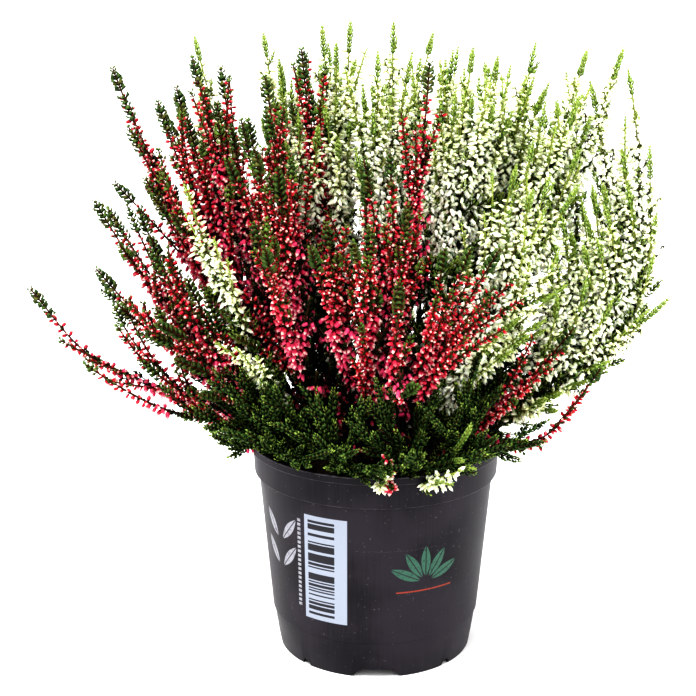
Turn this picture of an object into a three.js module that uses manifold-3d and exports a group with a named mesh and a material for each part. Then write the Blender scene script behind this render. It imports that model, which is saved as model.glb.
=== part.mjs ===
// Potted heather: a thin-walled nursery pot, its growing medium, and two colours of bud-flowered
// heather whose sprays fan out over a skirt of leafy shoots. Millimetres, +Z up, with the origin on
// the surface under the middle of the pot. The front of the plant faces -Y.

import * as THREE from 'three';
import { mergeVertices } from 'three/addons/utils/BufferGeometryUtils.js';
import Module from 'manifold-3d';

const wasm = await Module();
wasm.setup();

// ---- Pot -------------------------------------------------------------------------------------

const POT = {
	facets: 30,
	rimRadius: 55, // a pot sold as 11 cm
	height: 95,
	lipHeight: 3.6,
	bandRadius: 53.4, // outside of the plain band under the lip
	stepHeight: 79.9, // the ledge under the band
	stepRadius: 51,
	footStepHeight: 17,
	footStepRadius: 45.4,
	footRadius: 42.3,
	wall: 1.4,
	floorUnderside: 4.4, // the floor is held off the surface, for drainage
	floorTop: 6,
	padRadius: 12.5, // the middle of the floor dips to the surface
	padFlare: 2, // how far the dip's side slopes out
	wallFoot: 0.4, // the wall thickens by this much where it meets the floor
	edge: 0.5, // the small slopes at the lip and the steps
};
const KNEE_HEIGHT = POT.stepHeight - 1; // where the inside of the wall widens for the band

const FOOT_NOTCHES = { count: 4, bottomWidth: 21, topWidth: 13, height: 4 };
const SMALL_NOTCHES = { count: 4, bottomWidth: 4.4, topWidth: 3.2, height: 2.2 };
const DRAIN_HOLES = { count: 6, ringRadius: 29, radius: 3.8, sides: 6 };
const CUT_MARGIN = 3; // how far a cutter runs past what it cuts

// ---- Growing medium --------------------------------------------------------------------------

const SEAT_GAP = 0.3; // between any two pieces that rest on or in each other
const SOIL = { facets: 16, edgeHeight: 86, crown: 2.2, lump: 0.5, rings: [0.8, 0.55, 0.28, 0] };
const STEM_HOLE_DEPTH = 5;

// ---- Plant -----------------------------------------------------------------------------------

const SIDES = 4; // corners of each ring of a stem, half of them drawn out as buds or leaves
const RING_TWIST = THREE.MathUtils.degToRad(23);
const STEM_RADIUS = 1.15;
const CORE_RADIUS = 0.9;
const NEIGHBOUR_GAP = 0.35; // each spray's share of the clear space to its neighbour
const SMALLEST_RADIUS = 0.72;
const RING_WATCH = 2.5; // a ring looks this far each way along its stem for its neighbours
const LIP_GAP = 0.6;
const SOIL_CLEARANCE = 2.8; // how far a stem stands straight out of the soil before it leans

// From the top of a shoot down: reach of the drawn-out corners, their lift along the stem, the
// radius between them, and the spacing of the rings.
const GREEN_TIP = { length: 12, reach: 2.3, lift: 1.6, core: 1.2, spacing: 5 };
const LEAVES = { reach: 5, lift: 3.4, core: 1, spacing: 8.4 };
const BARE = { reach: STEM_RADIUS, lift: 0, core: STEM_RADIUS, spacing: 10 };
const BUDS = {
	red: { reach: 5.3, lift: 0.8, core: CORE_RADIUS, spacing: 6.8 },
	white: { reach: 5.1, lift: 1.2, core: CORE_RADIUS, spacing: 6.6 },
};
const SHOOTS = { reach: 6, lift: 5, core: 1, spacing: 4.4 };
const BUD_SHARE = 0.7; // how far down a spray its flowers reach
const CROWDED = 2.1; // room round a stem under which it stays bare
const SIDE_BARE_FOOT = 6;
const FORK = 0.4; // where a side shoot leaves its spray
const FORK_STEP = 0.07; // the next shoot leaves this much lower
const FORK_CLEAR = 7; // bare length each way from a fork
const SIDE_BEND = 0.3; // how far a side shoot follows its spray, and then its own way
const WOBBLE = [0.86, 1.14]; // the least and greatest size of a bud or leaf
const LEAN = [0.65, 0.47]; // share of a stem's run and rise at the turn of its curve

// Each spray's tips, [x, y, z]: its own, then those of the side shoots that fork off it. A spray
// leans by LEAN unless it has its own lean, or passes through the points of its own route.
const FRONT_SPRAYS = [
	{ colour: 'red', tips: [[-109, 5, 252], [-111, 12, 203]] },
	{ colour: 'red', tips: [[-89, -10, 240], [-84, 15, 243], [-83, -25, 197]] },
	{ colour: 'red', tips: [[-74, -15, 258], [-65, 10, 252]] },
	{ colour: 'white', tips: [[-78, 35, 263], [-78, 16, 205]] },
	{ colour: 'white', tips: [[-48, 30, 264], [-41, 18, 254]] },
	{ colour: 'red', tips: [[-45, -20, 251], [-44, -35, 239]] },
	{ colour: 'red', tips: [[-31, 0, 260]] },
	{ colour: 'white', tips: [[-23, 25, 268], [-17, 8, 262], [-11, 34, 269]] },
	{ colour: 'white', tips: [[0, -5, 259], [14, 2, 258]] },
	{ colour: 'white', tips: [[7, 20, 270], [24, 28, 265]] },
	{ colour: 'red', tips: [[20, -25, 257]] },
	{ colour: 'white', tips: [[31, 5, 259], [34, 19, 259]] },
	{ colour: 'white', tips: [[38, -10, 261], [46, -20, 240]] },
	{ colour: 'white', tips: [[49, 0, 257], [54, -15, 237]] },
	{ colour: 'white', tips: [[66, 15, 261], [61, 5, 241]] },
	{ colour: 'white', tips: [[85, -2, 260], [81, -12, 242]] },
	{ colour: 'white', tips: [[101, 5, 260], [89, 20, 239]] },
	{
		colour: 'white',
		tips: [[113, 0, 220], [104, 5, 187]],
		route: [[58, 0, 106], [99, 0, 127.5], [112, 0, 154], [115, 0, 180]],
	},
	{ colour: 'white', tips: [[68, -30, 213], [60, -42, 209], [80, -25, 208]] },
	{ colour: 'white', tips: [[54, -36, 218], [69, -50, 170]] },
	{ colour: 'white', tips: [[122, -10, 158]], lean: [0.7, 0.6] },
	{ colour: 'red', tips: [[-118, 0, 198], [-110, -15, 197]] },
	{ colour: 'red', tips: [[-91, -35, 184], [-93, -33, 149]] },
	{ colour: 'red', tips: [[-117, -10, 171], [-107, -20, 158]], lean: [0.7, 0.6] },
	{
		colour: 'red',
		tips: [[-147, 0, 160]],
		foot: 27,
		route: [[-56, 8, 99.6], [-82, 11, 108], [-105, 9, 118], [-126, 5, 131]],
	},
	{ colour: 'red', tips: [[-54, -30, 235], [-59, -40, 221]] },
	{ colour: 'red', tips: [[-48, -45, 226], [-39, -50, 219], [-34, -42, 222]] },
	{ colour: 'red', tips: [[-48, -65, 201], [-43, -75, 193]] },
	{ colour: 'red', tips: [[-20, -65, 201], [-26, -77, 194]] },
	{ colour: 'red', tips: [[-4, -68, 200], [-10, -78, 196]] },
	{ colour: 'red', tips: [[7, -85, 183], [14, -80, 141]] },
	{ colour: 'red', tips: [[11, -55, 206], [4, -42, 224], [-6, -45, 222]] },
	{ colour: 'red', tips: [[24, -75, 193], [34, -70, 192], [46, -60, 190]] },
	{ colour: 'red', tips: [[79, -35, 152]], lean: [0.7, 0.6] },
	{
		colour: 'red',
		tips: [[93, -22, 131]],
		foot: 30,
		route: [[54, -18, 99], [67, -22, 99.5], [78, -23, 109]],
	},
];

// Behind, the sprays stand in two arcs that follow the front's outline. Each has one side shoot.
const BACK_ARCS = [
	{ sprays: 6, reach: 82, height: 226, from: 28, to: 152, side: [9, 12, -24] },
	{ sprays: 6, reach: 112, height: 180, from: 18, to: 162, side: [-12, 4, -20] },
];
const BACK_WHITE_BELOW = 100; // degrees: white on the right, red on the left
const BACK_JITTER = { bearing: 3, reach: 7, height: 12 };
const BACK_SEED = 7;
const FIRST_SPRAY_SEED = 101;
// The more a spray leans, the further from the middle of the pot it stands.
const FOOT_REACH = 53;
const FOOT_CROWDING = 0.85;
const FURTHEST_FOOT = 37;

// Leafy shoots that hide the stems' feet and reach over the rim: bearing in degrees, then each
// shoot's [bearing from it, distance out, height].
const SKIRT_BEARINGS = [198, 226, 254, 282, 310, 32, 68, 146];
const SKIRT_SHOOTS = [[0, 66, 105], [-15, 64, 114], [14, 64, 101], [-7, 62, 130], [8, 59, 121]];
const SKIRT_FOOT = 41;
const SKIRT_LEAN = [0.35, 0.6]; // up first, then out over the lip
const SKIRT_SWING = [0, 4, -4, 8, -8]; // degrees that a shoot may bend aside to stay clear
const SKIRT_ROOM = 8; // a shoot this clear of the others needs no more room
const SKIRT_FORKS = [0.36, 0.46, 0.56];

// ---- Colours ---------------------------------------------------------------------------------

const FINISHES = {
	pot: { color: 0x35323a, roughness: 0.5, metalness: 0 },
	soil: { color: 0x2a211b, roughness: 1, metalness: 0 },
	red: { color: 0xb81d3c, roughness: 0.6, metalness: 0 },
	white: { color: 0xe9eed8, roughness: 0.6, metalness: 0 },
	skirt: { color: 0x3c5a2c, roughness: 0.7, metalness: 0 },
};

// ---- Solids ----------------------------------------------------------------------------------

function seededRandom(seed) {
	let state = seed;
	return () => {
		state = (state * 1664525 + 1013904223) % 4294967296;
		return state / 4294967296;
	};
}

function toSolid(geometry) {
	const bare = geometry.clone();
	bare.deleteAttribute('normal');
	bare.deleteAttribute('uv');
	const merged = mergeVertices(bare, 1e-4);
	return new wasm.Manifold(new wasm.Mesh({
		numProp: 3,
		vertProperties: new Float32Array(merged.attributes.position.array),
		triVerts: new Uint32Array(merged.index.array),
	}));
}

function toGeometry(solid) {
	const mesh = solid.getMesh();
	const geometry = new THREE.BufferGeometry();
	geometry.setAttribute('position', new THREE.BufferAttribute(mesh.vertProperties, 3));
	geometry.setIndex(new THREE.BufferAttribute(mesh.triVerts, 1));
	geometry.computeVertexNormals();
	return geometry;
}

function lathe(profile, facets) {
	const points = profile.map(([radius, height]) => new THREE.Vector2(radius, height));
	return toSolid(new THREE.LatheGeometry(points, facets).rotateX(Math.PI / 2));
}

function notchCutter({ bottomWidth, topWidth, height }, bearing) {
	const shape = new THREE.Shape();
	const flare = (bottomWidth - topWidth) / height / 2;
	const bottom = bottomWidth / 2 + CUT_MARGIN * flare;
	shape.moveTo(-bottom, -CUT_MARGIN);
	shape.lineTo(bottom, -CUT_MARGIN);
	shape.lineTo(topWidth / 2, height);
	shape.lineTo(-topWidth / 2, height);
	const depth = POT.footStepRadius - POT.footRadius + POT.wall + 2 * CUT_MARGIN;
	const cutter = new THREE.ExtrudeGeometry(shape, { depth, bevelEnabled: false, steps: 1 });
	cutter.rotateX(Math.PI / 2);
	cutter.translate(0, POT.footStepRadius + CUT_MARGIN, 0);
	cutter.rotateZ(bearing);
	return toSolid(cutter);
}

function makePot() {
	const p = POT;
	const lipBottom = p.height - p.lipHeight;
	const inner = p.rimRadius - p.wall;
	let pot = lathe([
		[0, 0],
		[p.padRadius, 0],
		[p.padRadius + p.padFlare, p.floorUnderside],
		[p.footRadius - p.wall, p.floorUnderside],
		[p.footRadius - p.wall, 0],
		[p.footRadius, 0],
		[p.footStepRadius - p.edge, p.footStepHeight],
		[p.footStepRadius, p.footStepHeight + p.edge],
		[p.stepRadius, p.stepHeight],
		[p.bandRadius - 2 * p.edge, p.stepHeight + p.edge],
		[p.bandRadius, lipBottom],
		[p.rimRadius, lipBottom + p.edge],
		[p.rimRadius, p.height - p.edge],
		[p.rimRadius - p.edge, p.height],
		[inner, p.height],
		[p.stepRadius - p.wall, KNEE_HEIGHT],
		[p.footRadius - p.wall + p.wallFoot, p.floorTop],
		[p.padRadius + p.padFlare + p.edge, p.floorTop],
		[p.padRadius - p.edge, p.floorTop - p.floorUnderside],
		[0, p.floorTop - p.floorUnderside],
	], p.facets);
	for (let i = 0; i < FOOT_NOTCHES.count; i++) {
		const bearing = (i / FOOT_NOTCHES.count) * 2 * Math.PI;
		pot = pot.subtract(notchCutter(FOOT_NOTCHES, bearing));
		pot = pot.subtract(notchCutter(SMALL_NOTCHES, bearing + Math.PI / SMALL_NOTCHES.count));
	}
	for (let i = 0; i < DRAIN_HOLES.count; i++) {
		const turn = ((i + 0.5) / DRAIN_HOLES.count) * 2 * Math.PI;
		const { radius, ringRadius, sides } = DRAIN_HOLES;
		const length = 2 * CUT_MARGIN;
		const drill = new THREE.CylinderGeometry(radius, radius, length, sides).rotateX(Math.PI / 2);
		drill.translate(ringRadius * Math.cos(turn), ringRadius * Math.sin(turn), p.floorTop);
		pot = pot.subtract(toSolid(drill));
	}
	return pot;
}

function potInnerRadius(height) {
	const { footRadius, stepRadius, rimRadius, wall, wallFoot, floorTop } = POT;
	if (height > KNEE_HEIGHT) {
		const share = (height - KNEE_HEIGHT) / (POT.height - KNEE_HEIGHT);
		return THREE.MathUtils.lerp(stepRadius - wall, rimRadius - wall, share);
	}
	const share = (height - floorTop) / (KNEE_HEIGHT - floorTop);
	return THREE.MathUtils.lerp(footRadius - wall + wallFoot, stepRadius - wall, share);
}

// The soil's top is a low dome with soft lumps.
function soilHeight(x, y) {
	const radius = Math.hypot(x, y);
	const edge = potInnerRadius(SOIL.edgeHeight);
	const dome = SOIL.edgeHeight + SOIL.crown * Math.cos((Math.min(radius / edge, 1) * Math.PI) / 2);
	const fade = Math.max(0, 1 - (radius / edge) ** 4);
	return dome + SOIL.lump * fade * (Math.sin(x * 0.31) + Math.cos(y * 0.27 + x * 0.1));
}

function makeSoil(stemHoles) {
	const bottom = POT.floorTop + SEAT_GAP;
	const fit = (height) => potInnerRadius(height) - SEAT_GAP / Math.cos(Math.PI / SOIL.facets);
	const edge = fit(SOIL.edgeHeight);
	const profile = [[0, bottom], [fit(bottom), bottom], [fit(KNEE_HEIGHT), KNEE_HEIGHT]];
	for (const share of [1, ...SOIL.rings]) profile.push([edge * share, SOIL.edgeHeight]);
	const points = profile.map(([radius, height]) => new THREE.Vector2(radius, height));
	const body = new THREE.LatheGeometry(points, SOIL.facets).rotateX(Math.PI / 2);
	const position = body.attributes.position;
	for (let i = 0; i < position.count; i++) {
		const x = position.getX(i);
		const y = position.getY(i);
		const isInside = Math.hypot(x, y) < edge * (1 + SOIL.rings[0]) / 2;
		if (position.getZ(i) > KNEE_HEIGHT && isInside) position.setZ(i, soilHeight(x, y));
	}
	let soil = toSolid(body);
	for (const { x, y } of stemHoles) {
		const width = STEM_RADIUS + SEAT_GAP * Math.SQRT2;
		const length = STEM_HOLE_DEPTH + SEAT_GAP + CUT_MARGIN;
		const drill = new THREE.CylinderGeometry(width, width, length, SIDES).rotateX(Math.PI / 2);
		drill.translate(x, y, soilHeight(x, y) + CUT_MARGIN - length / 2);
		soil = soil.subtract(toSolid(drill));
	}
	return soil;
}

// ---- Stems -----------------------------------------------------------------------------------

const vector = (point) => new THREE.Vector3(...point);

// A spray's own line: straight up out of its hole, then along its curve to the tip.
function mainLine({ tips, route, lean = LEAN, foot }) {
	const tip = vector(tips[0]);
	const reach = Math.hypot(tip.x, tip.y);
	const leaning = Math.min(FOOT_REACH * (reach / tip.z) ** FOOT_CROWDING, FURTHEST_FOOT);
	const baseRadius = foot ?? leaning;
	const toward = vector(route ? route[0] : tips[0]).setZ(0).normalize();
	const base = toward.multiplyScalar(baseRadius);
	const soil = soilHeight(base.x, base.y);
	const hole = base.clone().setZ(soil - STEM_HOLE_DEPTH);
	const start = base.clone().setZ(soil + SOIL_CLEARANCE);
	const line = new THREE.CurvePath();
	line.add(new THREE.LineCurve3(hole, start));
	if (route) {
		line.add(new THREE.CatmullRomCurve3([start, ...route.map(vector), tip]));
	} else {
		const run = tip.clone().sub(start);
		const turn = new THREE.Vector3(run.x * lean[0], run.y * lean[0], run.z * lean[1]);
		line.add(new THREE.QuadraticBezierCurve3(start, turn.add(start), tip));
	}
	return line;
}

// A side shoot starts on its spray's centreline and swings out to its own tip.
function sideLine(parent, tipPoint, fork) {
	const start = parent.getPointAt(fork);
	const along = parent.getTangentAt(fork);
	const tip = vector(tipPoint);
	const span = tip.distanceTo(start);
	const turn = start.clone().addScaledVector(along, span * SIDE_BEND).lerp(tip, SIDE_BEND);
	return new THREE.QuadraticBezierCurve3(start, turn, tip);
}

// Samples of every node's centrelines, so that each ring can keep clear of its neighbours.
const SAMPLE_STEP = 2;

function sampleLine(line) {
	const count = Math.ceil(line.getLength() / SAMPLE_STEP);
	return Array.from({ length: count + 1 }, (_, i) => line.getPointAt(i / count));
}

function nearestDistance(points, stems) {
	let nearest = Infinity;
	for (const stem of stems) {
		for (const sample of stem.samples) {
			for (const point of points) nearest = Math.min(nearest, point.distanceToSquared(sample));
		}
	}
	return Math.sqrt(Math.max(nearest - (SAMPLE_STEP / 2) ** 2, 0));
}

// How far a point over the pot is from the lip.
function distanceToLip(point) {
	const out = Math.hypot(point.x, point.y);
	const inner = POT.rimRadius - POT.wall;
	const aside = Math.max(inner - out, out - POT.rimRadius, 0);
	return Math.hypot(aside, point.z - POT.height);
}

// A ring reaches less than half way to any other spray, and where a side shoot leaves its spray
// the spray keeps its own thickness and the shoot starts thin inside it.
function clearRadius(stem, points, allStems) {
	const strangers = allStems.filter((other) => other.node !== stem.node);
	const siblings = allStems.filter((other) => other.node === stem.node && other !== stem);
	const toStrangers = nearestDistance(points, strangers) / 2 - NEIGHBOUR_GAP;
	const toSiblings = nearestDistance(points, siblings) / 2 - NEIGHBOUR_GAP;
	const floor = stem.isSide ? SMALLEST_RADIUS : STEM_RADIUS;
	const toLip = Math.min(...points.map(distanceToLip)) - LIP_GAP;
	return Math.max(Math.min(toStrangers, toLip, Math.max(toSiblings, floor)), SMALLEST_RADIUS);
}

// What grows at one place on a stem: nothing by its foot, by a fork or where it is crowded.
function zoneAt(stem, distance, room) {
	const { length, colour, isSide, forks } = stem;
	const fromTip = length - distance;
	const bareFoot = isSide ? SIDE_BARE_FOOT : STEM_HOLE_DEPTH + SOIL_CLEARANCE;
	const nearFork = forks.some((fork) => Math.abs(fork * length - distance) < FORK_CLEAR);
	if (distance <= bareFoot || nearFork || room < CROWDED) return BARE;
	if (fromTip < GREEN_TIP.length) return GREEN_TIP;
	if (colour === 'skirt') return SHOOTS;
	if (isSide || fromTip < length * BUD_SHARE) return BUDS[colour];
	return LEAVES;
}

// The rings of a stem, from its foot up: where each one sits, its zone and the room round it.
function ringPlan(stem, allStems) {
	const { line, length, isSide } = stem;
	const rings = [];
	const standing = STEM_HOLE_DEPTH + SOIL_CLEARANCE;
	let distance = 0;
	while (distance < length - 1) {
		const near = [-RING_WATCH, 0, RING_WATCH].map((shift) => {
			return line.getPointAt(THREE.MathUtils.clamp((distance + shift) / length, 0, 1));
		});
		const room = clearRadius(stem, near, allStems);
		const zone = zoneAt(stem, distance, room);
		rings.push({ at: distance / length, zone, room });
		distance += distance === 0 && !isSide ? standing : zone.spacing;
	}
	return rings;
}

// One closed stem: rings of SIDES corners, each second corner drawn out, each ring set a corner on
// from the last, and every face folded so that a drawn-out corner is a bud or leaf of four faces.
function stemSolid(stem, allStems, random) {
	const { line } = stem;
	const rings = ringPlan(stem, allStems);
	const positions = [];
	const triangles = [];
	let side = new THREE.Vector3(1, 0, 0);
	rings.forEach((ring, j) => {
		const centre = line.getPointAt(ring.at);
		const along = line.getTangentAt(ring.at);
		side = side.clone().projectOnPlane(along).normalize();
		const across = along.clone().cross(side);
		for (let k = 0; k < SIDES; k++) {
			const drawn = (j + k) % 2 === 0;
			const wobble = THREE.MathUtils.lerp(...WOBBLE, random());
			const turn = (k / SIDES) * 2 * Math.PI + Math.max(j - 1, 0) * RING_TWIST;
			const radius = Math.min(drawn ? ring.zone.reach * wobble : ring.zone.core, ring.room);
			const spare = Math.sqrt(Math.max(ring.room ** 2 - radius ** 2, 0));
			const lift = drawn ? Math.min(ring.zone.lift, spare) : 0;
			const corner = centre.clone();
			corner.addScaledVector(side, radius * Math.cos(turn));
			corner.addScaledVector(across, radius * Math.sin(turn));
			corner.addScaledVector(along, lift);
			positions.push(...corner.toArray());
		}
	});
	const last = rings.length - 1;
	const corner = (j, k) => j * SIDES + (k % SIDES);
	for (let j = 0; j < last; j++) {
		for (let k = 0; k < SIDES; k++) {
			const [a, b, c, d] = [corner(j, k), corner(j, k + 1), corner(j + 1, k), corner(j + 1, k + 1)];
			if ((j + k) % 2 === 0) triangles.push(a, b, c, b, d, c);
			else triangles.push(a, b, d, a, d, c);
		}
	}
	const tip = positions.length / 3;
	positions.push(...line.getPointAt(1).toArray());
	for (let k = 0; k < SIDES; k++) triangles.push(corner(last, k), corner(last, k + 1), tip);
	triangles.push(0, 2, 1, 0, 3, 2);
	return new wasm.Manifold(new wasm.Mesh({
		numProp: 3,
		vertProperties: new Float32Array(positions),
		triVerts: new Uint32Array(triangles),
	}));
}

// ---- The plant's layout ----------------------------------------------------------------------

function bearingPoint(bearing, radius, height) {
	const turn = THREE.MathUtils.degToRad(bearing);
	return [radius * Math.cos(turn), radius * Math.sin(turn), height];
}

function backSprays() {
	const random = seededRandom(BACK_SEED);
	const jitter = (size) => (random() - 0.5) * 2 * size;
	const { bearing: turn, reach, height } = BACK_JITTER;
	return BACK_ARCS.flatMap((arc) => Array.from({ length: arc.sprays }, (_, i) => {
		const bearing = arc.from + ((arc.to - arc.from) * i) / (arc.sprays - 1);
		const turned = bearing + jitter(turn);
		const tip = bearingPoint(turned, arc.reach + jitter(reach), arc.height + jitter(height));
		const colour = bearing < BACK_WHITE_BELOW ? 'white' : 'red';
		const [dx, dy, dz] = arc.side;
		return { colour, tips: [tip, [tip[0] + dx, tip[1] + dy, tip[2] + dz]] };
	}));
}

function makeStem(node, line, colour, forks, isSide) {
	return { node, line, length: line.getLength(), colour, forks, isSide, samples: sampleLine(line) };
}

function sprayStems(spray, node) {
	const main = mainLine(spray);
	const sideTips = spray.tips.slice(1);
	const forks = sideTips.map((_, i) => FORK - FORK_STEP * i);
	const stems = [makeStem(node, main, spray.colour, forks, false)];
	sideTips.forEach((tip, i) => {
		stems.push(makeStem(node, sideLine(main, tip, forks[i]), spray.colour, [], true));
	});
	return stems;
}

// Of the lines that a shoot may take, the one that stays furthest from all other stems.
function clearestLine(lineAtBearing, bearing, taken) {
	const lines = SKIRT_SWING.map((swing) => lineAtBearing(bearing + swing));
	const distances = lines.map((line) => nearestDistance(sampleLine(line), taken));
	const room = distances.map((distance) => Math.min(distance, SKIRT_ROOM));
	return lines[room.indexOf(Math.max(...room))];
}

function skirtStems(bearing, node, taken) {
	const [first, ...others] = SKIRT_SHOOTS;
	const mainAt = (turned) => {
		const tips = [bearingPoint(turned, first[1], first[2])];
		return mainLine({ tips, foot: SKIRT_FOOT, lean: SKIRT_LEAN });
	};
	const main = clearestLine(mainAt, bearing + first[0], taken);
	const forks = others.map((_, i) => SKIRT_FORKS[i % SKIRT_FORKS.length]);
	const stems = [makeStem(node, main, 'skirt', forks, false)];
	others.forEach(([turn, radius, height], i) => {
		const sideAt = (turned) => sideLine(main, bearingPoint(turned, radius, height), forks[i]);
		const line = clearestLine(sideAt, bearing + turn, taken);
		stems.push(makeStem(node, line, 'skirt', [], true));
	});
	return stems;
}

function layOut() {
	const plants = [];
	const counts = {};
	for (const spray of [...FRONT_SPRAYS, ...backSprays()]) {
		const { colour } = spray;
		counts[colour] = (counts[colour] ?? 0) + 1;
		const name = `spray_${colour}_${String(counts[colour]).padStart(2, '0')}`;
		plants.push({ name, colour, stems: sprayStems(spray, plants.length) });
	}
	SKIRT_BEARINGS.forEach((bearing, i) => {
		const taken = plants.flatMap((plant) => plant.stems);
		const stems = skirtStems(bearing, plants.length, taken);
		plants.push({ name: `leafy_shoots_${i + 1}`, colour: 'skirt', stems });
	});
	return plants;
}

// ---- Assembly --------------------------------------------------------------------------------

function addPiece(group, name, solid, finish) {
	const mesh = new THREE.Mesh(toGeometry(solid), new THREE.MeshStandardMaterial(finish));
	mesh.name = name;
	group.add(mesh);
}

const heather = new THREE.Group();
const plants = layOut();
const allStems = plants.flatMap((plant) => plant.stems);
const stemHoles = plants.map((plant) => plant.stems[0].line.getPointAt(0));

addPiece(heather, 'pot', makePot(), FINISHES.pot);
addPiece(heather, 'growing_medium', makeSoil(stemHoles), FINISHES.soil);
plants.forEach((plant, index) => {
	const random = seededRandom(FIRST_SPRAY_SEED + index);
	const [first, ...rest] = plant.stems.map((stem) => stemSolid(stem, allStems, random));
	const solid = rest.reduce((whole, part) => whole.add(part), first);
	addPiece(heather, plant.name, solid, FINISHES[plant.colour]);
});

export default heather;
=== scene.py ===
"""Potted heather: the finished looks of a two-coloured, bud-flowered heather in its nursery pot.

Metres, +Z up, with the origin on the surface under the middle of the pot and the front towards -Y.
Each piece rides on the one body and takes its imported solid's place. The plant's layout and the pot
are written in millimetres, as real sizes, and become metres where a mesh is made.
"""

import bisect
import logging
import math
import random
from collections.abc import Iterable, Mapping, Sequence
from dataclasses import dataclass, field
from enum import Enum

import bmesh
import bpy
import numpy as np
from mathutils import Matrix, Vector


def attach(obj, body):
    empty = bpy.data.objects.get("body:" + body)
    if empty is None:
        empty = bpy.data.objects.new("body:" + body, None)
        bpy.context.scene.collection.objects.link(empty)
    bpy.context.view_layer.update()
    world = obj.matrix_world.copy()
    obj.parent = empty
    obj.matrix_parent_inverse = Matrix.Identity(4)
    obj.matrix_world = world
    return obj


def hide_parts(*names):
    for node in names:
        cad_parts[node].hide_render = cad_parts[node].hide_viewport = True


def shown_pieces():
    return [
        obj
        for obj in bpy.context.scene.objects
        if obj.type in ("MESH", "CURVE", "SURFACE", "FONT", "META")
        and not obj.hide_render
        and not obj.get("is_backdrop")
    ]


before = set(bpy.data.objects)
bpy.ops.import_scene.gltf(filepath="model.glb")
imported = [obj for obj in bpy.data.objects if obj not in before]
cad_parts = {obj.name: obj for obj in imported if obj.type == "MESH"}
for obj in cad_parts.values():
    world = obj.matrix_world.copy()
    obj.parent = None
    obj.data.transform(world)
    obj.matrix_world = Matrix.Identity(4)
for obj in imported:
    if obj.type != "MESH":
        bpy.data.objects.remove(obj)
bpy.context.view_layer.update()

LOG = logging.getLogger("potted_heather")

MM = 0.001
BODY = "root"
UP = Vector((0, 0, 1))
GOLDEN_TURN = math.radians(137.5)
QUARTER_TURN = math.pi / 2

Pair = tuple[float, float]
Point = tuple[float, float, float]
Colour = tuple[float, float, float]
Bough = tuple[float, float, float, float]
Socket = bpy.types.NodeSocket
Feed = float | bool | str | Sequence[float] | Socket | bpy.types.ID
Feeds = Mapping[int | str, Feed]


# ---- Names -----------------------------------------------------------------------------------


class Growth(Enum):
    """What a stem carries; the value begins the names of its solids."""

    RED = "spray_red"
    WHITE = "spray_white"
    LEAFY = "leafy_shoots"


class Part(Enum):
    """Which part of a plant a stem is."""

    OWN = "own"
    SIDE = "side"
    BOUGH = "bough"
    RISER = "riser"
    LEAFY = "leafy"


class Trait(Enum):
    """What each place on a stem, bud or leaf knows about itself; the value names the attribute."""

    FROM_TIP = "from_tip"
    BLOOM = "bloom"
    LEAF = "leaf"
    TWIG = "twig"
    THICKNESS = "thickness"
    TURN = "turn"
    PLUMP = "plump"
    AGE = "age"
    TINT = "tint"
    ALONG = "along"
    FRESH = "fresh"
    YOUNG = "young"


SHOWN_TRAITS = (Trait.AGE, Trait.TINT, Trait.ALONG, Trait.FRESH)


# ---- Node trees ------------------------------------------------------------------------------


class NodeGraph:
    """A node tree to which nodes are added with what feeds them."""

    def __init__(self, tree: bpy.types.NodeTree) -> None:
        """Work on a geometry or shader tree."""
        self.tree = tree

    @staticmethod
    def socket(node: bpy.types.Node, key: int | str) -> Socket:
        """Find a node's input.

        Args:
            node: The node.
            key: The input's number, identifier or name.

        Returns:
            The input socket.
        """
        if isinstance(key, int):
            return node.inputs[key]
        for socket in node.inputs:
            if socket.identifier == key:
                return socket
        return node.inputs[key]

    def feed(self, node: bpy.types.Node, key: int | str, feed: Feed) -> None:
        """Link a socket to a node's input, or set the input's value."""
        socket = self.socket(node, key)
        if isinstance(feed, Socket):
            self.tree.links.new(feed, socket)
        else:
            socket.default_value = feed

    def add(self, kind: str, feeds: Feeds | None = None, **settings: object) -> bpy.types.Node:
        """Add a node.

        Args:
            kind: The node's type.
            feeds: A socket to link or a value to set, for each input by number, identifier or name.
            **settings: The node's own settings.

        Returns:
            The new node.
        """
        node = self.tree.nodes.new(kind)
        for setting, value in settings.items():
            setattr(node, setting, value)
        for key, feed in (feeds or {}).items():
            self.feed(node, key, feed)
        return node

    def math(self, operation: str, *values: Feed) -> Socket:
        """Return the result of a Math node on one to three values."""
        return self.add("ShaderNodeMath", dict(enumerate(values)), operation=operation).outputs[0]

    def times(self, first: Feed, second: Feed) -> Socket:
        """Return the product of two values."""
        return self.math("MULTIPLY", first, second)

    def minus(self, first: Feed, second: Feed) -> Socket:
        """Return the first value less the second."""
        return self.math("SUBTRACT", first, second)

    def remap(self, value: Feed, low: Feed, high: Feed, start: Feed = 0.0, end: Feed = 1.0) -> Socket:
        """Ease a value from one range into another.

        Args:
            value: What is mapped.
            low: The value that becomes start.
            high: The value that becomes end.
            start: The result at and below low.
            end: The result at and above high.

        Returns:
            The mapped value.
        """
        feeds = {"Value": value, "From Min": low, "From Max": high, "To Min": start, "To Max": end}
        return self.add("ShaderNodeMapRange", feeds, interpolation_type="SMOOTHSTEP").outputs[0]

    def vector(self, x: Feed, y: Feed, z: Feed) -> Socket:
        """Return a vector of three values."""
        return self.add("ShaderNodeCombineXYZ", {0: x, 1: y, 2: z}).outputs[0]


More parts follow.
